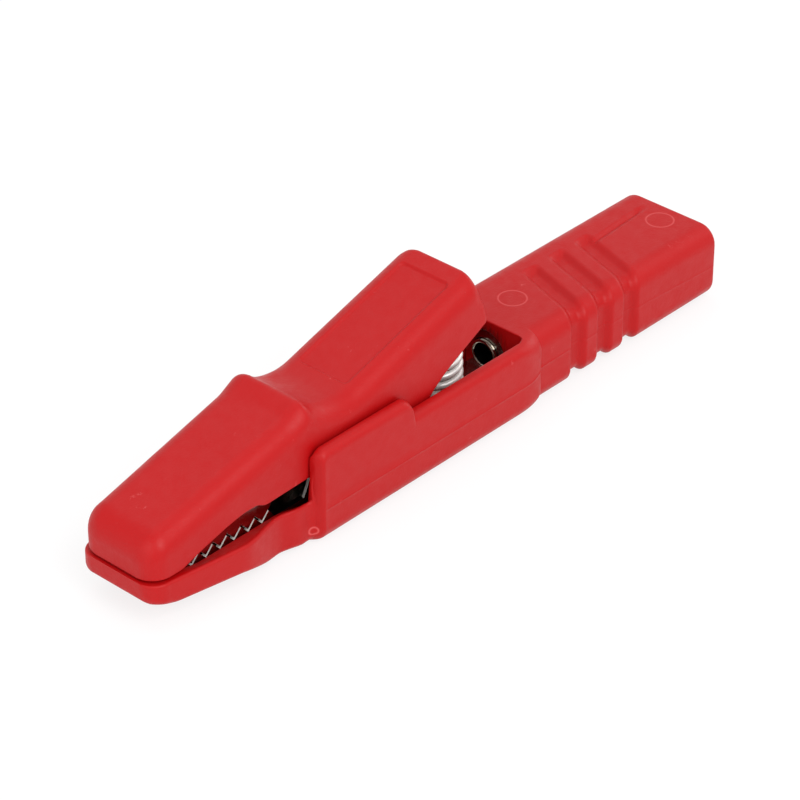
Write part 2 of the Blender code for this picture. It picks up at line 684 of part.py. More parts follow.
def make_lower_jaw(steel):
    outline = lower_jaw_outline()
    back = outline[-1][0]
    half = JAW_WIDTH / 2
    rings = []
    for x, high in outline:
        side = half - quarter(x, TEETH_START, JAW_NOSE_CORNER)
        side -= (JAW_WIDTH - STRAP_WIDTH) / 2 * ramp(x, back - 0.5, back + 2.0)
        rings.append(rounded(x, side, floor_height(x) + SEAT_GAP, high, 0.3, 0.02))
    tab = WELL_END + SEAT_GAP
    for x in (back + 2.0, tab - 0.05):
        rings.append(rounded(x, STRAP_WIDTH / 2, BODY_FLOOR + SEAT_GAP, STRAP_TOP, 0.05, 0.02))
    for x in (tab, tab + SHEET):
        rings.append(rounded(x, TAB_WIDTH / 2, BODY_FLOOR + SEAT_GAP, TAB_HEIGHT, 0.05, 2.5))
    jaw = part("lower_jaw", loft(rings), steel)
    inside = []
    corner = JAW_NOSE_CORNER - 0.4
    steps = corner_stations(TEETH_START + SHEET, corner) + between(BULGE_X, JAW_LENGTH + 1.5, 7)
    for x in steps + [back - 0.2]:
        side = half - SHEET - quarter(x, TEETH_START + SHEET, corner)
        inside.append(rounded(x, side, floor_height(x) + SEAT_GAP + SHEET, OUT_OF_THE_WAY, 0.1, 0.1))
    combine(jaw, cutter("lower_jaw_hollow", loft(inside)), "DIFFERENCE")
    radius = PIN_DIAMETER / 2 + RUN_GAP
    hole = laid(turned([(-JAW_WIDTH, radius), (JAW_WIDTH, radius)]), "Y", HINGE_X, 0.0, HINGE_HEIGHT)
    combine(jaw, cutter("lower_pin_hole", hole), "DIFFERENCE")
    radius = SPIGOT_DIAMETER / 2 + RIVET_GAP
    ends = [(tab - 1.0, radius), (tab + SHEET + 1.0, radius)]
    combine(jaw, cutter("tab_hole", laid(turned(ends), "X", 0.0, 0.0, SOCKET_HEIGHT)), "DIFFERENCE")
    return jaw


def roof_height(x):
    """The upper jaw's roof, which follows the shell, dips over the hinge and rises as the tongue."""
    top = upper_top(min(x, RIDGE_X - 2.2)) - UPPER_ROOF - SEAT_GAP
    if x <= RIDGE_X - 2.2:
        return top
    points = [
        (RIDGE_X - 2.2, top),
        (HINGE_X, EAR_ROOF_HEIGHT),
        (TONGUE_START - 1.5, TONGUE_HEIGHT - 0.2),
        (TONGUE_START, TONGUE_HEIGHT),
        (TONGUE_END, TONGUE_END_HEIGHT),
    ]
    return through(x, points)


def upper_jaw_outline():
    """Points of the upper jaw's lower edge: teeth that mesh with the lower ones, ear and tongue."""
    flange_end = TONGUE_START + TONGUE_FLANGE_LENGTH
    line = [(x, z + SEAT_GAP) for x, z in tooth_line()]
    line += [(TEETH_END + 0.8, THROAT_LEVEL + 2.2), (HINGE_X - UPPER_EAR_RADIUS - 1.0, THROAT_LEVEL + 2.0)]
    line += arc_points(UPPER_EAR_RADIUS, 200, 345, 9)
    line += [(TONGUE_START, TONGUE_HEIGHT - TONGUE_FLANGE)]
    line += [(flange_end, roof_height(flange_end) - TONGUE_FLANGE)]
    line += [(flange_end + 0.6, roof_height(flange_end + 0.6) - SHEET)]
    line += [(TONGUE_END, roof_height(TONGUE_END) - SHEET)]
    return line


def make_upper_jaw(steel):
    half = JAW_WIDTH / 2
    inner = INNER_JAW_WIDTH / 2

    def side_at(x):
        wide = half - quarter(x, TEETH_START, JAW_NOSE_CORNER)
        return wide - (half - inner) * ramp(x, TEETH_END + 0.2, TEETH_END + 2.6)

    rings = []
    outline = upper_jaw_outline()
    outline = sorted(outline + [(x, through(x, outline)) for x in (TEETH_END + 0.2, TEETH_END + 2.6)])
    for x, low in outline:
        rings.append(rounded(x, side_at(x), low, roof_height(x), 0.02, 0.4))
    hinge = (HINGE_X, 0.0, HINGE_HEIGHT)
    jaw = part("upper_jaw", loft(rings), steel, hinge)
    inside = []
    corner = JAW_NOSE_CORNER - 0.4
    steps = corner_stations(TEETH_START + SHEET, corner) + between(NOSE_CORNER + 3.0, RIDGE_X - 2.2, 3)
    steps += [TEETH_END + 0.2, TEETH_END + 2.6, HINGE_X, TONGUE_START - 1.5, TONGUE_START]
    steps += [TONGUE_START + TONGUE_FLANGE_LENGTH + 0.2]
    for x in sorted(steps):
        side = side_at(max(x, TEETH_START + JAW_NOSE_CORNER)) - SHEET
        side -= quarter(x, TEETH_START + SHEET, corner)
        inside.append(rounded(x, side, -OUT_OF_THE_WAY, roof_height(x) - SHEET, 0.1, 0.1))
    combine(jaw, cutter("upper_jaw_hollow", loft(inside)), "DIFFERENCE")
    radius = PIN_DIAMETER / 2 + RUN_GAP
    hole = laid(turned([(-JAW_WIDTH, radius), (JAW_WIDTH, radius)]), "Y", *hinge)
    combine(jaw, cutter("upper_jaw_pin_hole", hole), "DIFFERENCE")
    return jaw


# Pin, spring and socket


def make_hinge_pin(steel):
    half = CHANNEL_HALF + PIN_SOCKET_DEPTH - RIVET_GAP
    radius = PIN_DIAMETER / 2
    profile = [
        (-half, radius - PIN_CHAMFER),
        (-half + PIN_CHAMFER, radius),
        (half - PIN_CHAMFER, radius),
        (half, radius - PIN_CHAMFER),
    ]
    pin = laid(turned(profile), "Y", HINGE_X, 0.0, HINGE_HEIGHT)
    return part("hinge_pin", pin, steel)


def coil_point(turn, bottom, top, radius):
    """A point of the helix, in turns from its lower end. Its end turns lie closed."""
    rise = WIRE_DIAMETER * 1.12
    middle = COIL_TURNS - 2.0
    pitch = (top - bottom - 2 * rise) / middle
    height = rise * min(turn, 1.0)
    height += pitch * min(max(turn - 1.0, 0.0), middle)
    height += rise * max(turn - 1.0 - middle, 0.0)
    return Vector((radius * cos(2 * pi * turn), radius * sin(2 * pi * turn), bottom + height))


def make_return_spring(steel):
    """A wire helix between the strap and the tongue, whose top leans forward with the lever."""
    radius = (COIL_DIAMETER - WIRE_DIAMETER) / 2
    lean = radians(COIL_LEAN)
    foot = HINGE_X + COIL_TO_HINGE
    edge = COIL_DIAMETER / 2
    bottom = WIRE_DIAMETER / 2 + SEAT_GAP / 2 + edge * sin(lean)
    front_x = foot - edge - 1.4
    under = roof_height(front_x) - SHEET
    top = (under - STRAP_TOP - SEAT_GAP / 2 - WIRE_DIAMETER / 2 + edge * sin(lean)) / cos(lean)
    turns = [i / TURN_FACETS for i in range(int(COIL_TURNS * TURN_FACETS) + 1)]
    path = [coil_point(t, bottom, top, radius) for t in turns]
    rings = []
    for i, point in enumerate(path):
        ahead = path[min(i + 1, len(path) - 1)] - path[max(i - 1, 0)]
        out = Vector((point.x, point.y, 0.0)).normalized()
        up = ahead.cross(out).normalized()
        ring = []
        for k in range(WIRE_FACETS):
            a = 2 * pi * k / WIRE_FACETS
            ring.append(tuple(point + WIRE_DIAMETER / 2 * (cos(a) * out + sin(a) * up)))
        rings.append(ring)
    mesh = loft(rings)
    place = Matrix.Translation((foot, 0.0, STRAP_TOP)) @ Matrix.Rotation(-lean, 4, "Y")
    bmesh.ops.transform(mesh, matrix=place, verts=mesh.verts[:])
    return part("return_spring", mesh, steel, (foot, 0.0, STRAP_TOP), 60)


def make_socket_tube(brass):
    """A turned tube: spigot in the tab, shoulder, retaining collar, slotted mouth."""
    bore = SOCKET_BORE / 2
    outer = SOCKET_DIAMETER / 2
    spigot = SPIGOT_DIAMETER / 2
    spigot_bore = SPIGOT_BORE / 2
    tab = WELL_END + SEAT_GAP
    front = tab + RIVET_GAP / 2
    shoulder = tab + SHEET + RIVET_GAP
    collar = WELL_END + COLLAR_SETBACK
    mouth = LENGTH - SOCKET_RECESS
    profile = [
        (front, spigot_bore + 0.25),
        (front, spigot),
        (shoulder, spigot),
        (shoulder, outer),
        (collar, outer),
        (collar, COLLAR_DIAMETER / 2),
        (collar + COLLAR_LENGTH, COLLAR_DIAMETER / 2),
        (collar + COLLAR_LENGTH, outer),
        (mouth - 0.3, outer),
        (mouth, outer - 0.2),
        (mouth, bore + 0.25),
        (mouth - 0.4, bore),
        (shoulder + SOCKET_FRONT_WALL + 0.5, bore),
        (shoulder + SOCKET_FRONT_WALL, spigot_bore),
        (front + 0.25, spigot_bore),
    ]
    mesh = bmesh.new()
    loops = []
    for along, radius in profile:
        turns = [2 * pi * i / ROUND_FACETS for i in range(ROUND_FACETS)]
        loops.append([mesh.verts.new((radius * cos(a), radius * sin(a), along)) for a in turns])
    for near, far in zip(loops, loops[1:] + loops[:1]):
        for i in range(ROUND_FACETS):
            j = (i + 1) % ROUND_FACETS
            mesh.faces.new((near[i], near[j], far[j], far[i]))
    bmesh.ops.recalc_face_normals(mesh, faces=mesh.faces[:])
    tube = part("socket_tube", laid(mesh, "X", 0.0, 0.0, SOCKET_HEIGHT), brass)
    wide = SOCKET_DIAMETER
    slot = SLOT_WIDTH / 2
    for name, y, z in (("slot_across", wide, slot), ("slot_upright", slot, wide)):
        outline = [(mouth - SLOT_LENGTH, -y), (mouth + 1.0, -y), (mouth + 1.0, y), (mouth - SLOT_LENGTH, y)]
        combine(tube, cutter(name, prism(outline, SOCKET_HEIGHT - z, SOCKET_HEIGHT + z)), "DIFFERENCE")
    return tube


def clear_scene():
    for obj in list(bpy.data.objects):
        bpy.data.objects.remove(obj, do_unlink=True)


clear_scene()
make_lower_shell(material("red_polyamide_lower", (0.55, 0.03, 0.035), 0.0, 0.5))
make_upper_shell(material("red_polyamide_upper", (0.55, 0.03, 0.035), 0.0, 0.5))
make_lower_jaw(material("nickelled_steel_lower", (0.62, 0.60, 0.57), 1.0, 0.25))
make_upper_jaw(material("nickelled_steel_upper", (0.62, 0.60, 0.57), 1.0, 0.25))
make_hinge_pin(material("pin_steel", (0.55, 0.55, 0.55), 1.0, 0.3))
make_return_spring(material("spring_steel", (0.58, 0.57, 0.55), 1.0, 0.2))
make_socket_tube(material("nickelled_brass", (0.68, 0.64, 0.55), 1.0, 0.25))
bpy.context.view_layer.update()
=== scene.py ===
"""A red insulated crocodile clip with a plug socket in its handle, dressed round its CAD model."""
from math import cos, hypot, pi, radians, sin, sqrt

import bmesh
import bpy
from mathutils import Matrix, Vector


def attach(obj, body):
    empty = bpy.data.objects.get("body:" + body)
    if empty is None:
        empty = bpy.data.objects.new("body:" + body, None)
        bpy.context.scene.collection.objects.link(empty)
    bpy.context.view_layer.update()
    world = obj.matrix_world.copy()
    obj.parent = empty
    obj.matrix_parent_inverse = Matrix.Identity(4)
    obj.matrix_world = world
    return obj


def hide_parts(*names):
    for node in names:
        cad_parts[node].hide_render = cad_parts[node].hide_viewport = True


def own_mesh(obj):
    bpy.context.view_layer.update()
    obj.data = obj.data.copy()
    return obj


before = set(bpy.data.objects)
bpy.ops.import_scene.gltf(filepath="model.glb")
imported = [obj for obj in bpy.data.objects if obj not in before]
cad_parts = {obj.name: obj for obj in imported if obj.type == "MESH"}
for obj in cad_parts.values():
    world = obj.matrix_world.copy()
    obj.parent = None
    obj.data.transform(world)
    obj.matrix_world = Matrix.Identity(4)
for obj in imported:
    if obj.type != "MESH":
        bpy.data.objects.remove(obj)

for startup in ("Cube", "Light", "Camera"):
    if startup in bpy.data.objects:
        bpy.data.objects.remove(bpy.data.objects[startup], do_unlink=True)
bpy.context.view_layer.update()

# Lower shell
# One red polyamide moulding: the lower jaw's cover, the two cheeks beside the hinge, the open well under
# the lever and the box handle round the socket. The mould's halves meet in a fine line along its sides.

mm = 0.001
clip_length = 82.5
jaw_length = 20.6
cheek_end = 34.0
well_end = 52.05
body_front = jaw_length + 0.3
bulge_x = jaw_length - 9.4
waist_x = jaw_length - 4.1
neck_x = jaw_length - 1.8
body_width = 14.0
handle_width = 12.6
handle_height = 8.55
cheek_height = 10.6
cheek_corner = 1.3
lip_width = 10.6
bulge_width = 13.0
waist_width = 10.9
neck_width = 11.9
nose_corner = 2.1
nose_wall = 1.2
seam_low = 5.0
pocket_half = 4.25
channel_half = 5.6
hinge_x = 28.0
hinge_height = 7.2
shoulder_length = 3.4
groove_starts = (58.7, 62.95, 67.15)
groove_width = 2.2
groove_depth = 0.6
groove_slant = 0.31
groove_reach = 9.4
mould_line = 0.035
sink_depth = 0.28
sink_half_width = 0.55
socket_height = handle_height / 2
polyamide_red = (0.438, 0.0026, 0.0036)
polyamide_red_deep = (0.412, 0.0020, 0.0028)


def ease(x, start, end):
    """0 before start, 1 after end, and a smooth turn between them."""
    t = min(1.0, max(0.0, (x - start) / (end - start)))
    return t * t * (3 - 2 * t)


def ramp(x, start, end):
    """0 before start, 1 after end, and a straight line between them."""
    return min(1.0, max(0.0, (x - start) / (end - start)))


def corner_short(x, start, radius):
    """How far a round corner that begins at start is still short of its full width at x."""
    if x >= start + radius:
        return 0.0
    return radius - sqrt(max(0.0, radius**2 - (start + radius - x) ** 2))


def softened(line, x, reach):
    """The line's height at x, with its corners rounded over this reach."""
    if reach < 0.001:
        return line(x)
    return sum(line(x + reach * k / 3) for k in range(-3, 4)) / 7


def along(start, end, pitch):
    """Places from start to end, about one pitch apart."""
    count = max(1, round((end - start) / pitch))
    return [start + (end - start) * i / count for i in range(count + 1)]


def stations(coarse, fine):
    """The places of the rings along the clip: a coarse row, with finer rows where the form turns."""
    places = list(coarse)
    for start, end, pitch in fine:
        places = [x for x in places if not start - 0.02 < x < end + 0.02]
        places += along(start, end, pitch)
    return sorted(set(round(x, 4) for x in places))


def arc(middle_y, middle_z, radius, up, start, end, count):
    """Points round a corner of a section. 0 degrees points out sideways, and 90 to the rim."""
    turns = [radians(start + (end - start) * i / count) for i in range(count + 1)]
    return [(middle_y + radius * cos(a), middle_z + up * radius * sin(a)) for a in turns]


def wall_section(half, outer, rim, outer_radius, rim_radius, inner_half, inner, rim_drop=0.0, line_z=None):
    """A closed section of a U-shaped wall: outer face, side, rim and inner face, and the same mirrored."""
    up = 1 if rim > outer else -1
    most = min(half, abs(rim - outer) / 2) * 0.98
    outer_radius = min(outer_radius, most)
    rim_radius = min(rim_radius, most)
    flat = half - outer_radius
    points = [(flat * share, outer) for share in (0, 0.2, 0.4, 0.58, 0.7, 0.78, 0.84, 0.88, 0.92, 0.96)]
    points += arc(flat, outer + up * outer_radius, outer_radius, up, -90, -80, 4)[:-1]
    points += arc(flat, outer + up * outer_radius, outer_radius, up, -80, 0, 9)
    low = outer + up * outer_radius
    high = rim - up * rim_radius
    line = (low + high) / 2 if line_z is None else min(max(line_z, low + 0.2 * (high - low)), high - 0.1)
    for share in (0.3, 0.6, 0.85):
        points.append((half, low + (line - low) * share))
    tight = min(1.0, abs(line - low) / 0.5, abs(high - line) / 0.5)
    points += [(half, line + up * tight * offset) for offset in (-0.06, -0.03, 0.0, 0.03, 0.06)]
    for share in (0.2, 0.45, 0.75):
        points.append((half, line + (high - line) * share))
    points += arc(half - rim_radius, high, rim_radius, up, 0, 90, 8)
    depth = abs(rim - inner)
    shelf = half - rim_radius
    inner_count = 25
    if depth < 0.001:
        points += [(shelf * (1 - i / inner_count), rim) for i in range(1, inner_count + 1)]
    else:
        lip = min(0.18, depth / 2)
        foot = min(0.3, depth / 2)
        edge = min(inner_half + lip, shelf - 0.02)
        wall = edge - lip
        for share in (0.3, 0.7):
            points.append((shelf + (edge - shelf) * share, rim - up * rim_drop * share))
        inner_rim = rim - up * min(rim_drop, max(0.0, depth - lip - foot))
        points += [(2 * edge - y, z) for y, z in arc(edge, inner_rim - up * lip, lip, up, 90, 0, 4)]
        wall_end = inner + up * foot
        for share in (0.2, 0.4, 0.6, 0.8):
            points.append((wall, inner_rim - up * lip + (wall_end - inner_rim + up * lip) * share))
        points += [(2 * (wall - foot) - y, z) for y, z in arc(wall - foot, wall_end, foot, up, 180, 270, 4)]
        points += [((wall - foot) * (1 - i / 9), inner) for i in range(1, 10)]
    return points + [(-y, z) for y, z in reversed(points[1:-1])]


def skin(rings, hollow=False):
    """A closed mesh over rings that have as many points each. A hollow one closes on its first ring."""
    mesh = bmesh.new()
    loops = [[mesh.verts.new(point) for point in ring] for ring in rings]
    for near, far in zip(loops, loops[1:] + loops[:1] if hollow else loops[1:]):
        for i in range(len(near)):
            j = (i + 1) % len(near)
            mesh.faces.new((near[i], near[j], far[j], far[i]))
    if not hollow:
        mesh.faces.new(reversed(loops[0]))
        mesh.faces.new(loops[-1])
    bmesh.ops.recalc_face_normals(mesh, faces=mesh.faces[:])
    return mesh


def turned(profile, facets=64, hollow=False):
    """A profile of (place along X, radius), turned about a line along X at the socket's height."""
    rings = []
    for place, radius in profile:
        turns = [2 * pi * i / facets for i in range(facets)]
        rings.append([(place, radius * cos(a), socket_height + radius * sin(a)) for a in turns])
    return skin(rings, hollow)


def made_piece(name, mesh, finish, sharp=38):
    """A mesh in millimetres from the nose, made an object in metres in the CAD frame."""
    bmesh.ops.translate(mesh, vec=Vector((-clip_length / 2, 0, 0)), verts=mesh.verts[:])
    bmesh.ops.scale(mesh, vec=Vector((mm, mm, mm)), verts=mesh.verts[:])
    data = bpy.data.meshes.new(name)
    mesh.to_mesh(data)
    mesh.free()
    if finish:
        data.materials.append(finish)
    data.shade_smooth()
    data.set_sharp_from_angle(angle=radians(sharp))
    piece = bpy.data.objects.new(name, data)
    bpy.context.scene.collection.objects.link(piece)
    return piece


def cut(piece, mesh):
    """Cuts a mesh out of a piece for good, and takes the cutter away."""
    tool = made_piece("cutter", mesh, None)
    modifier = piece.modifiers.new("cut", "BOOLEAN")
    modifier.operation = "DIFFERENCE"
    modifier.solver = "EXACT"
    modifier.object = tool
    bpy.context.view_layer.update()
    result = bpy.data.meshes.new_from_object(piece.evaluated_get(bpy.context.evaluated_depsgraph_get()))
    piece.modifiers.remove(modifier)
    piece.data = result
    bpy.data.objects.remove(tool, do_unlink=True)


def even_shading(piece):
    """Lets the broad faces lead the shading, so that small edge faces don't bend it."""
    modifier = piece.modifiers.new("even shading", "WEIGHTED_NORMAL")
    modifier.keep_sharp = True


def shader_of(finish):
    finish.use_nodes = True
    return finish.node_tree.nodes["Principled BSDF"]


def add(finish, kind, **settings):
    made = finish.node_tree.nodes.new(kind)
    for key, value in settings.items():
        if key in made.inputs:
            made.inputs[key].default_value = value
        else:
            setattr(made, key, value)
    return made


def join(finish, source, output, target, socket):
    finish.node_tree.links.new(source.outputs[output], target.inputs[socket])


def speckle(finish, scale, detail, low, high, socket):
    """Noise that varies one value of the shader between low and high."""
    shader = shader_of(finish)
    place = add(finish, "ShaderNodeTexCoord")
    noise = add(finish, "ShaderNodeTexNoise", Scale=scale, Detail=detail)
    spread = add(finish, "ShaderNodeMapRange")
    spread.inputs["From Min"].default_value = 0.3
    spread.inputs["From Max"].default_value = 0.7
    spread.inputs["To Min"].default_value = low
    spread.inputs["To Max"].default_value = high
    join(finish, place, "Object", noise, "Vector")
    join(finish, noise, "Fac", spread, "Value")
    join(finish, spread, "Result", shader, socket)


def ejector_mark(finish, x, y, z, radius, line_width, height):
    """A thin ring that an ejector pin leaves. It gives its height, 0 away from the ring, and the same share
    sets the ring's painted highlight.
    """
    place = add(finish, "ShaderNodeTexCoord")
    from_middle = add(finish, "ShaderNodeVectorMath", operation="DISTANCE")
    from_middle.inputs[1].default_value = ((x - clip_length / 2) * mm, y * mm, z * mm)
    off_ring = add(finish, "ShaderNodeMath", operation="SUBTRACT")
    off_ring.inputs[1].default_value = radius * mm
    away = add(finish, "ShaderNodeMath", operation="ABSOLUTE")
    ring = add(finish, "ShaderNodeMapRange", interpolation_type="SMOOTHSTEP")
    ring.inputs["From Min"].default_value = 0.0
    ring.inputs["From Max"].default_value = line_width * mm
    ring.inputs["To Min"].default_value = height
    ring.inputs["To Max"].default_value = 0.0
    join(finish, place, "Object", from_middle, 0)
    join(finish, from_middle, "Value", off_ring, 0)
    join(finish, off_ring, "Value", away, 0)
    join(finish, away, "Value", ring, "Value")
    return ring


def polyamide(name, marks=(), gloss=0.24):
    """Red polyamide from a finely eroded mould: a matt grain, slow shade changes, a few pale nicks and a
    painted highlight along each ejector ring.
    """
    finish = bpy.data.materials.new(name)
    shader = shader_of(finish)
    shader.inputs["Specular IOR Level"].default_value = gloss
    place = add(finish, "ShaderNodeTexCoord")
    drift = add(finish, "ShaderNodeTexNoise", Scale=160.0, Detail=3.0)
    grain = add(finish, "ShaderNodeTexNoise", Scale=3400.0, Detail=4.0, Roughness=0.65)
    scuffs = add(finish, "ShaderNodeTexNoise", Scale=520.0, Detail=6.0, Roughness=0.72)
    for noise in (drift, grain, scuffs):
        join(finish, place, "Object", noise, "Vector")
    shade = add(finish, "ShaderNodeMix", data_type="RGBA")
    shade.inputs[6].default_value = (*polyamide_red_deep, 1)
    shade.inputs[7].default_value = (*polyamide_red, 1)
    join(finish, drift, "Fac", shade, 0)
    nicks = add(finish, "ShaderNodeMapRange")
    nicks.inputs["From Min"].default_value = 0.66
    nicks.inputs["From Max"].default_value = 0.74
    nicks.inputs["To Max"].default_value = 0.4
    join(finish, scuffs, "Fac", nicks, "Value")
    paled = add(finish, "ShaderNodeMix", data_type="RGBA")
    paled.inputs[7].default_value = (0.72, 0.16, 0.16, 1)
    join(finish, nicks, "Result", paled, 0)
    join(finish, shade, 2, paled, 6)
    coloured = paled
    height = grain
    height_socket = "Fac"
    for mark in marks:
        ring = ejector_mark(finish, *mark)
        # The ring is painted paler: a painted highlight along the ejector mark. Its raised edge, given by the
        # bump, is real.
        ring_painted_highlight = add(finish, "ShaderNodeMix", data_type="RGBA")
        ring_painted_highlight.inputs[7].default_value = (0.66, 0.09, 0.09, 1)
        join(finish, ring, "Result", ring_painted_highlight, 0)
        join(finish, coloured, 2, ring_painted_highlight, 6)
        coloured = ring_painted_highlight
        raised = add(finish, "ShaderNodeMath", operation="SUBTRACT")
        join(finish, height, height_socket, raised, 0)
        join(finish, ring, "Result", raised, 1)
        height = raised
        height_socket = "Value"
    join(finish, coloured, 2, shader, "Base Color")
    bump = add(finish, "ShaderNodeBump", Strength=0.5, Distance=0.00005)
    join(finish, height, height_socket, bump, "Height")
    join(finish, bump, "Normal", shader, "Normal")
    speckle(finish, 900.0, 4.0, 0.38, 0.52, "Roughness")
    return finish


def line_inside(piece, finish, inside):
    """Gives a second finish to the faces for which inside(x, y, z, face normal) holds."""
    piece.data.materials.append(finish)
    for face in piece.data.polygons:
        x, y, z = face.center / mm
        if inside(x + clip_length / 2, y, z, face.normal):
            face.material_index = 1


def body_half_width(x):
    """Half the lower shell's width: a bulging jaw, a waist, a neck, the body and then the handle."""
    front = body_front - 1.3
    shoulder = well_end - shoulder_length / 2
    if x < bulge_x:
        half = lip_width / 2 + (bulge_width - lip_width) / 2 * ramp(x, nose_corner, bulge_x)
        return half - corner_short(x, 0.0, nose_corner)
    if x < waist_x:
        return bulge_width / 2 - (bulge_width - waist_width) / 2 * ease(x, bulge_x, waist_x)
    if x < front:
        return waist_width / 2 + (neck_width - waist_width) / 2 * ease(x, waist_x, neck_x)
    if x < body_front:
        t = (x - front) / 1.3
        return neck_width / 2 + (body_width - neck_width) / 2 * (1 - sqrt(1 - t * t))
    if x < shoulder:
        return body_width / 2
    t = min(1.0, (x - shoulder) / shoulder_length)
    return handle_width / 2 + (body_width - handle_width) / 2 * sqrt(1 - t * t)


def body_bottom(x):
    """The underside: the chin falls slowly, then drops to the flat base at the cheeks."""
    chin = 2.25 - 0.5 * ramp(x, 0.0, bulge_x) + 0.55 * (1 - ease(x, 0.0, nose_corner + 1.4))
    z = chin - 1.3 * ease(x, bulge_x - 0.6, bulge_x + 4.6)
    return z - 0.45 * ease(x, jaw_length - 2.6, jaw_length + 0.4) + corner_short(x, 0.0, 0.7)


def body_rim(x):
    """The lip, the cheek with its two round corners, and the level top of well and handle."""
    if x < jaw_length - 0.05:
        return seam_low + 0.5 * ramp(x, jaw_length - 0.9, jaw_length) ** 3
    if x < jaw_length + 0.05 + cheek_corner:
        return cheek_height - corner_short(x, jaw_length + 0.05, cheek_corner)
    if x < cheek_end:
        return cheek_height - corner_short(2 * cheek_end - x, cheek_end, cheek_corner)
    return handle_height


def lower_floor(x):
    jaw = body_bottom(max(x, nose_corner)) + 1.0
    return jaw + (1.3 - jaw) * ease(x, jaw_length - 2.0, jaw_length + 1.5)


def lower_pocket_half(x):
    """Half the hollow's width: the jaw's pocket, which widens past the waist into the channel."""
    widening = (ease(x, waist_x + 0.6, jaw_length) + ramp(x, waist_x + 0.6, jaw_length)) / 2
    half = pocket_half - corner_short(x, nose_wall, nose_corner - 0.4)
    half += (neck_width / 2 - 0.8 - pocket_half) * widening
    half += (channel_half - half) * ease(x, jaw_length - 0.5, jaw_length)
    return half - corner_short(2 * well_end - x, well_end, 0.9)


def end_rounding(x, start, end, radius=0.15):
    """0 outside a hollow, 1 in it, and a small rounding of its brim: the share or depth in mm."""
    outside = max(start - x, x - end)
    if outside <= -0.015:
        return None
    return radius - sqrt(max(0.0, radius**2 - (radius - min(outside, radius)) ** 2))


def lower_ring(x, inset=0.0):
    low = 0.7 + 1.2 * ease(x, jaw_length - 1.6, jaw_length + 0.6) + 0.2 * ease(x, well_end - 1, well_end + 2)
    high = 0.3 + 0.7 * ease(x, jaw_length - 0.2, jaw_length + 0.2) + 1.1 * ease(x, well_end - 2, well_end + 2)
    reach = 0.5 * ease(x, 2.5, 4.0) - 0.2 * ease(x, 18.4, 19.2) - 0.3 * ease(x, 21.6, 22.0)
    half = softened(body_half_width, x, reach)
    rim = softened(body_rim, x, 0.12)
    brim = end_rounding(x, nose_wall, well_end)
    inner = lower_floor(x) if brim is None else rim - brim
    slope = 0.55 * ease(x, 3.5, 7.0) * (1 - ease(x, jaw_length - 0.3, jaw_length))
    line = 4.0 + 0.55 * ease(x, well_end - 0.5, well_end + 2.5) - 0.7 * ramp(x, well_end + 19, clip_length)
    section = wall_section(
        half - inset,
        body_bottom(x) + inset,
        rim - inset,
        max(0.1, low - inset),
        max(0.1, high - inset),
        lower_pocket_half(x),
        inner - (inset if brim is not None else 0),
        slope,
        line,
    )
    return [lower_surface(x, y, z, line) for y, z in section]


def lower_surface(x, y, z, line):
    """Moves a point of the plain section for the cheek's edge, the mould line, the grooves and a sink mark."""
    side = 1 if y > 0 else -1
    if jaw_length - 0.4 < x < jaw_length + 1.2 and abs(y) > channel_half:
        thinner = corner_short(x, jaw_length, 0.85) / (body_width / 2 - channel_half)
        y = side * (channel_half + (abs(y) - channel_half) * (1 - thinner * ease(z, 4.9, 6.0)))
    outside = abs(y) > body_half_width(x) - 0.02
    if outside and x > jaw_length + 0.4:
        bead = mould_line * (1 - 0.5 * ramp(x, well_end + 4, well_end + 7)) * max(0.0, 1 - abs(z - line) / 0.07)
        y += side * (bead - mould_line) * ease(x, jaw_length + 0.4, jaw_length + 1.4)
    if x > well_end + 5:
        y, z = grooved(x, y, z)
    if x > well_end + 19 and z > handle_height - 0.2:
        off_sink = abs(y - 1.8 - 0.064 * (x - 72.6))
        along_sink = ease(x, 71.2, 72.0) * (1 - ease(x, 79.2, 80.9))
        z -= sink_depth * (1 - ease(off_sink, 0.0, sink_half_width)) * along_sink
    return x, y, z


def grooved(x, y, z):
    """Sinks a point towards the handle's core where one of the three swept finger grooves passes."""
    across = y + handle_width / 2
    swept = groove_slant * min(groove_reach, max(0.0, across))
    fade = 1 - ease(across, groove_reach - 0.7, groove_reach + 0.2)
    for start in groove_starts:
        t = (x - start - swept) / groove_width
        if -0.12 < t < 1.12 and fade > 0:
            depth = groove_depth * fade * ease(t, -0.12, 0.3) * (1 - ease(t, 0.7, 1.12))
            half, middle = handle_width / 2, handle_height / 2
            corner_y = max(0.0, abs(y) - (half - 2.1))
            corner_z = max(0.0, abs(z - middle) - (middle - 2.1))
            reach = hypot(corner_y, corner_z)
            if reach > 0.01:
                y -= depth * corner_y / reach * (1 if y > 0 else -1)
                z -= depth * corner_z / reach * (1 if z > middle else -1)
    return y, z


red_lower = polyamide(
    "red polyamide, lower shell",
    marks=(
        (57.1, 0.5, handle_height, 1.5, 0.16, 0.55),
        (79.7, -0.7, handle_height, 1.5, 0.16, 0.55),
        (20.2, -6.4, 1.7, 0.5, 0.14, 0.8),
    ),
)
rows = stations(
    along(0.0, clip_length - 0.5, 0.4),
    (
        (0.0, 0.5, 0.05),
        (0.55, nose_corner, 0.12),
        (nose_wall - 0.16, nose_wall + 0.02, 0.03),
        (jaw_length - 1.1, jaw_length - 0.3, 0.1),
        (jaw_length - 0.24, jaw_length + 0.4, 0.04),
        (jaw_length + 0.45, jaw_length + 1.5, 0.1),
        (cheek_end - cheek_corner - 0.1, cheek_end - 0.2, 0.1),
        (cheek_end - 0.16, cheek_end + 0.2, 0.04),
        (well_end - 1.0, well_end - 0.1, 0.075),
        (well_end - 0.04, well_end + 0.16, 0.02),
        (well_end + 0.2, well_end + 1.8, 0.1),
        (well_end + 5.8, well_end + 21.6, 0.16),
    ),
)
rings = [lower_ring(x) for x in rows]
end_radius = 0.45
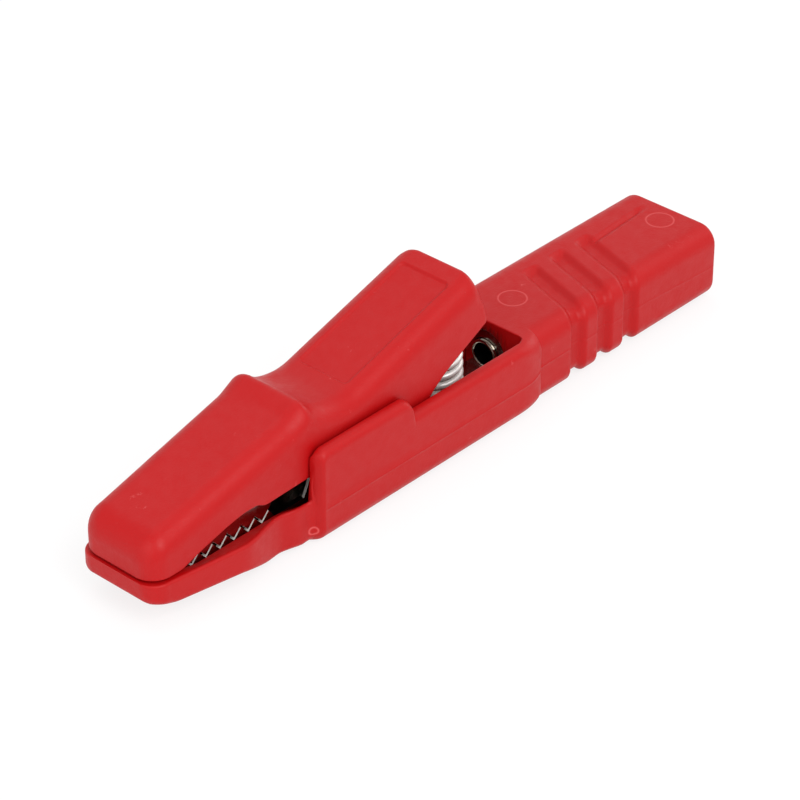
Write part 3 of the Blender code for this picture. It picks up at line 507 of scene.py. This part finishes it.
for i in range(1, 7):
    turn = pi / 2 * i / 6
    end_x = clip_length - end_radius * (1 - sin(turn))
    section = lower_ring(clip_length - 0.5, end_radius * (1 - cos(turn)))
    rings.append([(end_x, y, z) for _, y, z in section])
lower_shell = made_piece("lower_moulding", skin(rings), red_lower)
bore = [
    (well_end - 1.0, 2.9),
    (well_end + 3.7, 2.9),
    (well_end + 3.7, 3.4),
    (well_end + 5.8, 3.4),
    (well_end + 5.8, 2.9),
    (clip_length - 2.7, 2.9),
    (clip_length - 2.4, 3.0),
    (clip_length - 0.6, 3.0),
    (clip_length - 0.42, 3.06),
    (clip_length - 0.2, 3.2),
    (clip_length + 0.4, 3.8),
]
cut(lower_shell, turned(bore))


def tab_outline(half, low, high, radius):
    """A tab's outline seen along the clip: square below, with a round top."""
    points = [(half, low), (half, high - radius)]
    points += arc(half - radius, high - radius, radius, 1, 0, 90, 12)[1:]
    return points + [(-y, z) for y, z in reversed(points)]


tab_pocket = tab_outline(2.95, 1.3, 7.3, 2.6)
cut(lower_shell, skin([[(x, y, z) for y, z in tab_pocket] for x in (well_end - 0.5, well_end + 1.2)]))


def cross_hole(half_length, radius):
    """A round bar across the clip at the hinge."""
    rings = []
    for y in (-half_length, half_length):
        turns = [2 * pi * i / 48 for i in range(48)]
        rings.append([(hinge_x + radius * cos(a), y, hinge_height + radius * sin(a)) for a in turns])
    return skin(rings)


cut(lower_shell, cross_hole(channel_half + 0.7, 1.33))


def in_lower_hollow(x, y, z, normal):
    """True on the lip's inner slope, in the jaw's pocket and in the well."""
    if x < jaw_length:
        slope = normal.z > 0.2 and abs(y) < body_half_width(x) - 0.4
        in_pocket = z > 1.5 and abs(y) < lower_pocket_half(x) + 0.1
        return x > 2.0 and normal.z > -0.5 and (slope or in_pocket)
    return x < well_end + 0.3 and z > 1.2 and z < handle_height - 0.1 and abs(y) < channel_half + 0.02


# The hollows get the same red with its sheen turned far down: painted shade where the shells hide these faces
# from the light.
red_hollow_painted_shade = polyamide("red polyamide, hollow side", gloss=0.07)
line_inside(lower_shell, red_hollow_painted_shade, in_lower_hollow)
even_shading(lower_shell)
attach(lower_shell, "base")
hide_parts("lower_shell")

# Upper shell and thumb lever
# The second red moulding: a blunt forehead and a smooth brow over the upper jaw, a saddle above the hinge
# and the long lever with its shallow recessed panel. Its skirts turn on the pin between the cheeks.

brow_slope = radians(14.2)
forehead_radius = 3.2
forehead_height = 10.15
nose_setback = 0.25
ridge_x = jaw_length + 0.6
saddle_x = ridge_x + 5.2
saddle_height = 13.25
lever_top = 18.77
lever_end = 45.4
lever_curve = 2.0
lever_slope = (lever_top - saddle_height) / (lever_end - saddle_x - lever_curve / 2)
lever_end_depth = 5.6
lever_end_lean = 0.25
seam_high = 5.3
skirt_radius = 3.2
panel_start = 28.2
panel_end = 43.2
panel_half = 3.2
panel_depth = 0.22
panel_corner = 0.55


def upper_top(x):
    """The top line: a round forehead, a straight brow that lifts to a ridge, a saddle and the lever."""
    middle = nose_setback + forehead_radius
    middle_z = forehead_height - forehead_radius / cos(brow_slope)
    slope = sin(brow_slope) / cos(brow_slope)
    if x < middle - forehead_radius * sin(brow_slope):
        return middle_z + sqrt(max(0.0, forehead_radius**2 - (middle - x) ** 2))
    if x <= ridge_x:
        return forehead_height + (x - middle) * slope + 0.65 * ramp(x, ridge_x - 2.2, ridge_x)
    if x < saddle_x:
        drop = forehead_height + (ridge_x - middle) * slope + 0.65 - saddle_height
        t = (x - ridge_x) / (saddle_x - ridge_x)
        return saddle_height + drop * (1 - t) ** 2 * (1 - 0.25 * sin(pi * t))
    t = x - saddle_x
    if t < lever_curve:
        return saddle_height + lever_slope * t * t / (2 * lever_curve)
    return saddle_height + lever_slope * (t - lever_curve / 2)


def through(x, points):
    """The height at x of a line through points."""
    for (x0, z0), (x1, z1) in zip(points, points[1:]):
        if x <= x1:
            return z0 + (z1 - z0) * max(0.0, (x - x0) / (x1 - x0))
    return points[-1][1]


def upper_edge(x):
    """The lower edge: the nose meets the seam, the mouth arches, and the skirt covers the hinge."""
    mouth = seam_high + 2.25
    step = jaw_length - 6.1
    skirt = hinge_height - skirt_radius
    return through(
        x,
        (
            (0.0, seam_high),
            (4.0, seam_high),
            (6.45, seam_high + 0.855),
            (9.8, seam_high + 1.8),
            (jaw_length - 8.5, mouth),
            (step - 0.6, mouth),
            (step + 0.4, mouth - 0.55),
            (jaw_length + 0.4, mouth - 0.3),
            (hinge_x - skirt_radius, hinge_height - 0.6),
            (hinge_x - skirt_radius * 0.7, hinge_height - skirt_radius * 0.72),
            (hinge_x - skirt_radius * 0.3, skirt + 0.1),
            (hinge_x + skirt_radius * 0.3, skirt + 0.1),
            (hinge_x + skirt_radius * 0.8, hinge_height - skirt_radius * 0.6),
            (hinge_x + 9.6, handle_height - 0.95),
            (hinge_x + 10.6, handle_height + 0.07),
            (hinge_x + 12.5, handle_height + 1.4),
            (lever_end + lever_end_lean * lever_end_depth, lever_top - lever_end_depth),
        ),
    )


def panel_sink(x, y):
    """How far the panel's floor lies under the lever's top at a point seen from above."""
    half_length = (panel_end - panel_start) / 2 - panel_corner
    past_x = max(0.0, abs(x - (panel_start + panel_end) / 2) - half_length)
    past_y = max(0.0, abs(y) - (panel_half - panel_corner))
    return panel_depth * (1 - ease(hypot(past_x, past_y) - panel_corner, -0.22, 0.1))


def upper_ring(x, inset=0.0):
    """A ring of the upper shell. Towards the lever's end the rings lean back with its end face."""
    high = softened(upper_top, x, 0.4 * ease(x, 4.0, 6.0))
    lean = lever_end_lean * ease(x, hinge_x + 1, lever_end - 1.0)
    low = seam_high
    for _ in range(6):
        low = softened(upper_edge, x + lean * (high - low), 0.35 * ease(x, 2.0, 3.0))
    half = lip_width / 2 - 0.25 * (1 - ramp(x, nose_corner, jaw_length)) - corner_short(x, nose_setback, 2.2)
    tuck = 0.8 * corner_short(2 * lever_end - x, lever_end - 0.1, 1.6)
    brim = end_rounding(x, nose_wall, lever_end - 1.1)
    thicker = 0.5 * ease(x, ridge_x - 2.5, ridge_x) * (1 - ease(x, ridge_x, saddle_x))
    inner = high - 1.2 - thicker if brim is None else low + brim
    pocket = pocket_half - corner_short(x, nose_wall, 1.4)
    section = wall_section(
        half - inset,
        high - inset,
        low + inset * 0.5,
        2.3 - inset,
        0.2,
        pocket,
        inner + (inset * 0.5 if brim is not None else 0),
    )
    ring = []
    for y, z in section:
        if z > high - inset - 0.1 and inset == 0:
            z -= panel_sink(x, y)
        ring.append((x + lean * (high - z), y * (1 - tuck / half * ease(z, high - 4.5, high - 1.5)), z))
    return ring


red_upper = polyamide("red polyamide, upper shell")
rows = stations(
    along(nose_setback + 0.002, lever_end - 0.6, 0.35),
    (
        (nose_setback + 0.002, nose_setback + 0.4, 0.04),
        (nose_setback + 0.45, nose_setback + 2.2, 0.1),
        (nose_wall - 0.16, nose_wall + 0.02, 0.03),
        (jaw_length - 7.0, jaw_length - 5.4, 0.12),
        (ridge_x - 2.6, ridge_x + 1.2, 0.12),
        (panel_start - 0.15, panel_start + 0.8, 0.05),
        (panel_end - 0.8, panel_end + 0.15, 0.05),
        (lever_end - 1.14, lever_end - 0.94, 0.02),
        (lever_end - 0.9, lever_end - 0.6, 0.1),
    ),
)
rings = [upper_ring(x) for x in rows]
lever_end_radius = 0.6
for i in range(1, 9):
    turn = pi / 2 * i / 8
    end_x = lever_end - lever_end_radius * (1 - sin(turn))
    rings.append(upper_ring(end_x, lever_end_radius * (1 - cos(turn))))
upper_shell = made_piece("lever_moulding", skin(rings), red_upper)
cut(upper_shell, cross_hole(lip_width, 1.33))


def in_upper_hollow(x, y, z, normal):
    """True in the upper jaw's pocket and inside the lever, and not on the lever's end face."""
    turned_out = x > hinge_x and normal.x > 0.4
    under_the_top = z < upper_top(x) - 0.9 and normal.z < 0.5
    return x > 1.3 and abs(y) < pocket_half + 0.05 and under_the_top and not turned_out


# The upper shell's hollows take the same painted shade: the dimmed sheen.
line_inside(upper_shell, red_hollow_painted_shade, in_upper_hollow)
even_shading(upper_shell)
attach(upper_shell, "lever")
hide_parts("upper_shell")

# Toothed jaws
# Two channels pressed from 0.6 mm steel sheet, toothed along their edges and nickel plated. The lower one
# runs on as a strap under the spring to the socket's tab, and the upper one as a tongue inside the lever.


def plated(name, colour, roughness, scratch, metal=1.0):
    """Bright plating over rolled metal: fine scratches along the strip and cloudy gloss."""
    finish = bpy.data.materials.new(name)
    shader = shader_of(finish)
    shader.inputs["Metallic"].default_value = metal
    place = add(finish, "ShaderNodeTexCoord")
    stretch = add(finish, "ShaderNodeMapping")
    stretch.inputs["Scale"].default_value = (0.12, 1.0, 1.0)
    lines = add(finish, "ShaderNodeTexNoise", Scale=9000.0, Detail=4.0, Roughness=0.65)
    cloud = add(finish, "ShaderNodeTexNoise", Scale=700.0, Detail=3.0)
    join(finish, place, "Object", stretch, "Vector")
    join(finish, stretch, "Vector", lines, "Vector")
    join(finish, place, "Object", cloud, "Vector")
    tone = add(finish, "ShaderNodeMix", data_type="RGBA")
    tone.inputs[6].default_value = (*(0.82 * c for c in colour), 1)
    tone.inputs[7].default_value = (*colour, 1)
    join(finish, cloud, "Fac", tone, 0)
    join(finish, tone, 2, shader, "Base Color")
    bump = add(finish, "ShaderNodeBump", Strength=scratch, Distance=0.00001)
    join(finish, lines, "Fac", bump, "Height")
    join(finish, bump, "Normal", shader, "Normal")
    speckle(finish, 900.0, 2.0, roughness * 0.9, roughness * 1.15, "Roughness")
    return finish


# How far in from a jaw's side the ear's front edge gets the paler finish: a real burnished band, painted
# brighter as a highlight.
burnished_glint_band = 0.3


def on_ear_front(place, normal):
    """True on the sheared front edge of a jaw's ear. The place is in millimetres in the CAD frame."""
    x = place[0] + clip_length / 2
    return hinge_x - 7.0 < x < hinge_x - 1.5 and normal.x < -0.5 and abs(normal.y) < 0.3


def pressed_copy(node, name, finish, edge_finish, edge):
    """The CAD node's shape with its triangles joined, its edges rounded and its sheared edges in a paler
    finish, partly a painted highlight.
    """
    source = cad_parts[node].data
    data = bpy.data.meshes.new(name)
    data.from_pydata([v.co[:] for v in source.vertices], [], [p.vertices[:] for p in source.polygons])
    mesh = bmesh.new()
    mesh.from_mesh(data)
    bmesh.ops.remove_doubles(mesh, verts=mesh.verts[:], dist=0.002 * mm)
    bmesh.ops.dissolve_limit(mesh, angle_limit=radians(1.5), verts=mesh.verts[:], edges=mesh.edges[:])
    bright_half = max(v.co.y for v in mesh.verts) / mm - burnished_glint_band
    for side in (-bright_half, bright_half):
        fronts = [face for face in mesh.faces if on_ear_front(face.calc_center_median() / mm, face.normal)]
        parts = {part for face in fronts for part in (face, *face.edges, *face.verts)}
        bmesh.ops.bisect_plane(mesh, geom=list(parts), plane_co=(0, side * mm, 0), plane_no=(0, 1, 0))
    mesh.to_mesh(data)
    mesh.free()
    data.materials.append(finish)
    data.shade_smooth()
    data.set_sharp_from_angle(angle=radians(50))
    piece = bpy.data.objects.new(name, data)


    # The faces that get the paler finish: real cut edges, brightened as a painted highlight.
    def sheared(x, y, z, normal):
        flank = x < jaw_length and z > 3.9 and abs(normal.y) < 0.3 and abs(normal.z) < 0.9
        return flank or (abs(y) > bright_half and on_ear_front((x - clip_length / 2, y, z), normal))

    line_inside(piece, edge_finish, sheared)
    bpy.context.scene.collection.objects.link(piece)
    rounding = piece.modifiers.new("rounded edges", "BEVEL")
    rounding.width = edge * mm
    rounding.segments = 2
    rounding.limit_method = "ANGLE"
    rounding.angle_limit = radians(40)
    even_shading(piece)
    return piece


# The plating is given a darker grey than bright nickel: painted shade for the jaws and the strap's tab, which
# lie in shade inside the clip.
nickel_steel_shaded = plated("nickelled steel", (0.50, 0.47, 0.44), 0.15, 0.2)
# The sheared edges get a near-white, half diffuse finish. It is partly the real bright cut edge and partly a
# painted highlight on the tooth flanks and the ears' front edges.
sheared_steel_glint = plated("nickelled steel, sheared edge", (0.95, 0.93, 0.90), 0.4, 0.3, metal=0.5)
lower_jaw = pressed_copy("lower_jaw", "lower_toothed_jaw", nickel_steel_shaded, sheared_steel_glint, 0.2)
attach(lower_jaw, "base")
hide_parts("lower_jaw")
upper_jaw = pressed_copy("upper_jaw", "upper_toothed_jaw", nickel_steel_shaded, sheared_steel_glint, 0.28)
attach(upper_jaw, "lever")
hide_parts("upper_jaw")

# Hinge pin
# A plain steel pin through both jaws and the skirts. Its ends sit in blind holes in the cheeks.

pin_steel = plated("pin steel", (0.60, 0.60, 0.60), 0.3, 0.2)
pin_half = channel_half + 0.6
rings = []
for y, radius in ((-pin_half, 1.0), (0.25 - pin_half, 1.25), (pin_half - 0.25, 1.25), (pin_half, 1.0)):
    turns = [2 * pi * i / 64 for i in range(64)]
    rings.append([(hinge_x + radius * cos(a), y, hinge_height + radius * sin(a)) for a in turns])
hinge_pin = made_piece("cross_pin", skin(rings), pin_steel)
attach(hinge_pin, "base")
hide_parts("hinge_pin")

# Return spring
# A coil of bright spring wire between the strap and the tongue. It stands in the well and leans forward a
# little, with its end turns lying closed. The real one shortens as the lever goes down; this one is made at one
# length.

wire_diameter = 0.7
coil_diameter = 5.2
coil_turns = 9.0
coil_foot = hinge_x + 17.25
coil_lean = radians(3.0)
strap_top = 2.2
coil_bottom = wire_diameter / 2 + 0.15 + coil_diameter / 2 * sin(coil_lean)
coil_length = 8.87
# The wire is near white and mostly diffuse: a painted highlight, so the coil shows as bright bands rather than
# thin reflections.
spring_steel_highlight = plated("spring steel", (1.0, 0.985, 0.95), 0.42, 0.06, metal=0.35)

coil = bpy.data.node_groups.new("closed-end coil", "GeometryNodeTree")
coil.interface.new_socket(name="Geometry", in_out="OUTPUT", socket_type="NodeSocketGeometry")
coil_sizes = {
    "Wire Diameter": wire_diameter * mm,
    "Coil Diameter": coil_diameter * mm,
    "Turns": coil_turns,
    "Wire Length Along Axis": coil_length * mm,
    "Closed Turn Rise": wire_diameter * 1.12 * mm,
}
coil_sockets = {
    name: coil.interface.new_socket(name=name, in_out="INPUT", socket_type="NodeSocketFloat")
    for name in coil_sizes
}
given = coil.nodes.new("NodeGroupInput")


def reckon(operation, first, second=None):
    """One step of the coil's arithmetic on node outputs or plain numbers."""
    step = coil.nodes.new("ShaderNodeMath")
    step.operation = operation
    for socket, value in zip(step.inputs, (first, second)):
        if isinstance(value, bpy.types.NodeSocket):
            coil.links.new(value, socket)
        elif value is not None:
            socket.default_value = value
    return step.outputs[0]


turn_count = given.outputs["Turns"]
closed_rise = given.outputs["Closed Turn Rise"]
axis_line = coil.nodes.new("GeometryNodeCurvePrimitiveLine")
steps_of_wire = coil.nodes.new("GeometryNodeResampleCurve")
steps_of_wire.inputs["Count"].default_value = int(coil_turns * 48)
wire_share = coil.nodes.new("GeometryNodeSplineParameter")
turn_now = reckon("MULTIPLY", wire_share.outputs["Factor"], turn_count)
angle_now = reckon("MULTIPLY", turn_now, 2 * pi)
middle_diameter = reckon("SUBTRACT", given.outputs["Coil Diameter"], given.outputs["Wire Diameter"])
coil_radius = reckon("MULTIPLY", middle_diameter, 0.5)
open_turns = reckon("SUBTRACT", turn_count, 2.0)
closed_length = reckon("MULTIPLY", closed_rise, 2.0)
free_length = reckon("SUBTRACT", given.outputs["Wire Length Along Axis"], closed_length)
pitch = reckon("DIVIDE", free_length, open_turns)
first_rise = reckon("MULTIPLY", closed_rise, reckon("MINIMUM", turn_now, 1.0))
past_first = reckon("MAXIMUM", reckon("SUBTRACT", turn_now, 1.0), 0.0)
open_rise = reckon("MULTIPLY", pitch, reckon("MINIMUM", past_first, open_turns))
past_open = reckon("MAXIMUM", reckon("SUBTRACT", past_first, open_turns), 0.0)
last_rise = reckon("MULTIPLY", closed_rise, past_open)
wire_place = coil.nodes.new("ShaderNodeCombineXYZ")
coil.links.new(reckon("MULTIPLY", coil_radius, reckon("COSINE", angle_now)), wire_place.inputs["X"])
coil.links.new(reckon("MULTIPLY", coil_radius, reckon("SINE", angle_now)), wire_place.inputs["Y"])
coil.links.new(reckon("ADD", reckon("ADD", first_rise, open_rise), last_rise), wire_place.inputs["Z"])
wound = coil.nodes.new("GeometryNodeSetPosition")
wire_section = coil.nodes.new("GeometryNodeCurvePrimitiveCircle")
wire_section.inputs["Resolution"].default_value = 18
drawn = coil.nodes.new("GeometryNodeCurveToMesh")
drawn.inputs["Fill Caps"].default_value = True
real = coil.nodes.new("GeometryNodeRealizeInstances")
finished = coil.nodes.new("GeometryNodeSetMaterial")
finished.inputs["Material"].default_value = spring_steel_highlight
coil_out = coil.nodes.new("NodeGroupOutput")
coil.links.new(axis_line.outputs["Curve"], steps_of_wire.inputs["Curve"])
coil.links.new(steps_of_wire.outputs["Curve"], wound.inputs["Geometry"])
coil.links.new(wire_place.outputs["Vector"], wound.inputs["Position"])
coil.links.new(reckon("MULTIPLY", given.outputs["Wire Diameter"], 0.5), wire_section.inputs["Radius"])
coil.links.new(wound.outputs["Geometry"], drawn.inputs["Curve"])
coil.links.new(wire_section.outputs["Curve"], drawn.inputs["Profile Curve"])
coil.links.new(drawn.outputs["Mesh"], real.inputs["Geometry"])
coil.links.new(real.outputs["Geometry"], finished.inputs["Geometry"])
coil.links.new(finished.outputs["Geometry"], coil_out.inputs[0])

winder = bpy.data.objects.new("winder", bpy.data.meshes.new("winder"))
bpy.context.scene.collection.objects.link(winder)
winding = winder.modifiers.new("coil", "NODES")
winding.node_group = coil
for name, socket in coil_sockets.items():
    winding[socket.identifier] = coil_sizes[name]
bpy.context.view_layer.update()
coil_mesh = bpy.data.meshes.new_from_object(winder.evaluated_get(bpy.context.evaluated_depsgraph_get()))
winder.modifiers.remove(winding)
bpy.data.objects.remove(winder, do_unlink=True)
foot_place = Vector((coil_foot - clip_length / 2, 0, strap_top)) * mm
foot_lift = Matrix.Translation((0, 0, coil_bottom * mm))
stood = Matrix.Translation(foot_place) @ Matrix.Rotation(-coil_lean, 4, "Y") @ foot_lift
coil_mesh.transform(stood)
coil_mesh.shade_smooth()
coil_mesh.set_sharp_from_angle(angle=radians(60))
spring = bpy.data.objects.new("coil_spring", coil_mesh)
bpy.context.scene.collection.objects.link(spring)
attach(spring, "base")
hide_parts("return_spring")
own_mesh(spring)

# Socket tube
# A turned brass tube, nickel plated, for a 4 mm plug. Its spigot sits in the strap's tab, a collar holds
# it in the handle, and two slots make the mouth springy.

nickel_brass = plated("nickelled brass", (0.52, 0.47, 0.40), 0.16, 0.15)
tube_front = well_end - 0.1
tube_shoulder = well_end + 1.0
tube_mouth = clip_length - 2.4
collar = well_end + 4.0
tube_profile = [
    (tube_front + 0.10, 1.30),
    (tube_front + 0.03, 1.36),
    (tube_front, 1.45),
    (tube_front, 1.58),
    (tube_front + 0.04, 1.67),
    (tube_front + 0.12, 1.70),
    (tube_shoulder, 1.70),
    (tube_shoulder, 2.50),
    (tube_shoulder + 0.1, 2.60),
    (collar, 2.60),
    (collar, 3.02),
    (collar + 0.08, 3.10),
    (collar + 1.42, 3.10),
    (collar + 1.5, 3.02),
    (collar + 1.5, 2.60),
    (tube_mouth - 0.25, 2.60),
    (tube_mouth - 0.06, 2.52),
    (tube_mouth, 2.40),
    (tube_mouth, 2.32),
    (tube_mouth - 0.08, 2.22),
    (tube_mouth - 0.45, 2.00),
    (tube_shoulder + 1.1, 2.00),
    (tube_shoulder + 0.6, 1.30),
]
socket_tube = made_piece("plug_socket", turned(tube_profile, 72, hollow=True), nickel_brass)
for half_y, half_z in ((2.8, 0.25), (0.25, 2.8)):
    slot_rings = []
    for x in (tube_mouth - 9.0, tube_mouth + 1.0):
        corners = ((-1, -1), (1, -1), (1, 1), (-1, 1))
        slot_rings.append([(x, half_y * y, socket_height + half_z * z) for y, z in corners])
    cut(socket_tube, skin(slot_rings))
even_shading(socket_tube)
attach(socket_tube, "base")
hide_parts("socket_tube")

# Floor, light and camera
# A plain white floor under a white sky, four broad soft lamps, and the photograph's viewing angle.

scene = bpy.context.scene
scene.view_settings.view_transform = "Standard"

floor_mesh = bmesh.new()
bmesh.ops.create_grid(floor_mesh, x_segments=1, y_segments=1, size=1.5)
bmesh.ops.translate(floor_mesh, vec=Vector((0, 0, -0.00005)), verts=floor_mesh.verts[:])
floor_data = bpy.data.meshes.new("floor")
floor_mesh.to_mesh(floor_data)
floor_mesh.free()
floor = bpy.data.objects.new("floor", floor_data)
scene.collection.objects.link(floor)
white_floor = bpy.data.materials.new("white floor")
floor_shader = shader_of(white_floor)
floor_shader.inputs["Base Color"].default_value = (0.95, 0.95, 0.95, 1)
floor_shader.inputs["Roughness"].default_value = 0.9
floor_shader.inputs["Specular IOR Level"].default_value = 0.0
seen = add(white_floor, "ShaderNodeLightPath")
seen_any = add(white_floor, "ShaderNodeMath", operation="MAXIMUM")
seen_share = add(white_floor, "ShaderNodeMath", operation="MULTIPLY")
seen_share.inputs[1].default_value = 0.8
glow = add(white_floor, "ShaderNodeEmission", Strength=1.0)
glow.inputs["Color"].default_value = (1, 1, 1, 1)
shown = add(white_floor, "ShaderNodeMixShader")
join(white_floor, seen, "Is Camera Ray", seen_any, 0)
join(white_floor, seen, "Is Glossy Ray", seen_any, 1)
join(white_floor, seen_any, "Value", seen_share, 0)
join(white_floor, seen_share, "Value", shown, 0)
join(white_floor, floor_shader, "BSDF", shown, 1)
join(white_floor, glow, "Emission", shown, 2)
floor_out = white_floor.node_tree.nodes["Material Output"]
white_floor.node_tree.links.new(shown.outputs[0], floor_out.inputs["Surface"])
floor_data.materials.append(white_floor)

sky = bpy.data.worlds.new("white sky")
scene.world = sky
sky.use_nodes = True
sky_light = sky.node_tree.nodes["Background"]
sky_light.inputs["Color"].default_value = (1, 1, 1, 1)
sky_path = sky.node_tree.nodes.new("ShaderNodeLightPath")
sky_seen = sky.node_tree.nodes.new("ShaderNodeMath")
sky_seen.operation = "MAXIMUM"
sky_seen_too = sky.node_tree.nodes.new("ShaderNodeMath")
sky_seen_too.operation = "MAXIMUM"
sky_strength = sky.node_tree.nodes.new("ShaderNodeMapRange")
sky_strength.inputs["To Min"].default_value = 0.62
sky_strength.inputs["To Max"].default_value = 1.0
sky.node_tree.links.new(sky_path.outputs["Is Camera Ray"], sky_seen.inputs[0])
sky.node_tree.links.new(sky_path.outputs["Is Glossy Ray"], sky_seen.inputs[1])
sky.node_tree.links.new(sky_seen.outputs[0], sky_seen_too.inputs[0])
sky.node_tree.links.new(sky_path.outputs["Is Transmission Ray"], sky_seen_too.inputs[1])
sky.node_tree.links.new(sky_seen_too.outputs[0], sky_strength.inputs["Value"])
sky.node_tree.links.new(sky_strength.outputs["Result"], sky_light.inputs["Strength"])


def soft_lamp(name, place, aim, size, power):
    """A broad square lamp that points at aim."""
    data = bpy.data.lights.new(name, "AREA")
    data.size = size
    data.energy = power
    lamp = bpy.data.objects.new(name, data)
    lamp.location = place
    lamp.rotation_euler = (Vector(aim) - Vector(place)).to_track_quat("-Z", "Y").to_euler()
    scene.collection.objects.link(lamp)


soft_lamp("key lamp", (-0.12, -0.44, 0.45), (0, 0, 0), 0.40, 2.4)
soft_lamp("front lamp", (-0.50, -0.02, 0.25), (0, 0, 0), 0.40, 0.8)
soft_lamp("rear lamp", (0.50, -0.10, 0.25), (0, 0, 0), 0.30, 0.5)
soft_lamp("top lamp", (0.05, 0.20, 0.60), (0, 0, 0), 0.50, 0.7)

view_azimuth = radians(47.6)
view_elevation = radians(33.4)
view_distance = 0.3481
view_target = Vector((-0.00035, 0.0, 0.004))
right = Vector((cos(view_azimuth), -sin(view_azimuth), 0))
level = cos(view_elevation)
rise = sin(view_elevation)
up = Vector((sin(view_azimuth) * rise, cos(view_azimuth) * rise, level))
back = Vector((-sin(view_azimuth) * level, -cos(view_azimuth) * level, rise))
lens = bpy.data.cameras.new("camera")
lens.sensor_width = 36.0
lens.lens = 155.52
lens.shift_x = -0.012575
lens.shift_y = 0.00085
lens.clip_start = 0.01
lens.clip_end = 10.0
camera = bpy.data.objects.new("camera", lens)
scene.collection.objects.link(camera)
view_turn = Matrix((right, up, back)).transposed().to_4x4()
camera.matrix_world = Matrix.Translation(view_target + view_distance * back) @ view_turn
scene.camera = camera
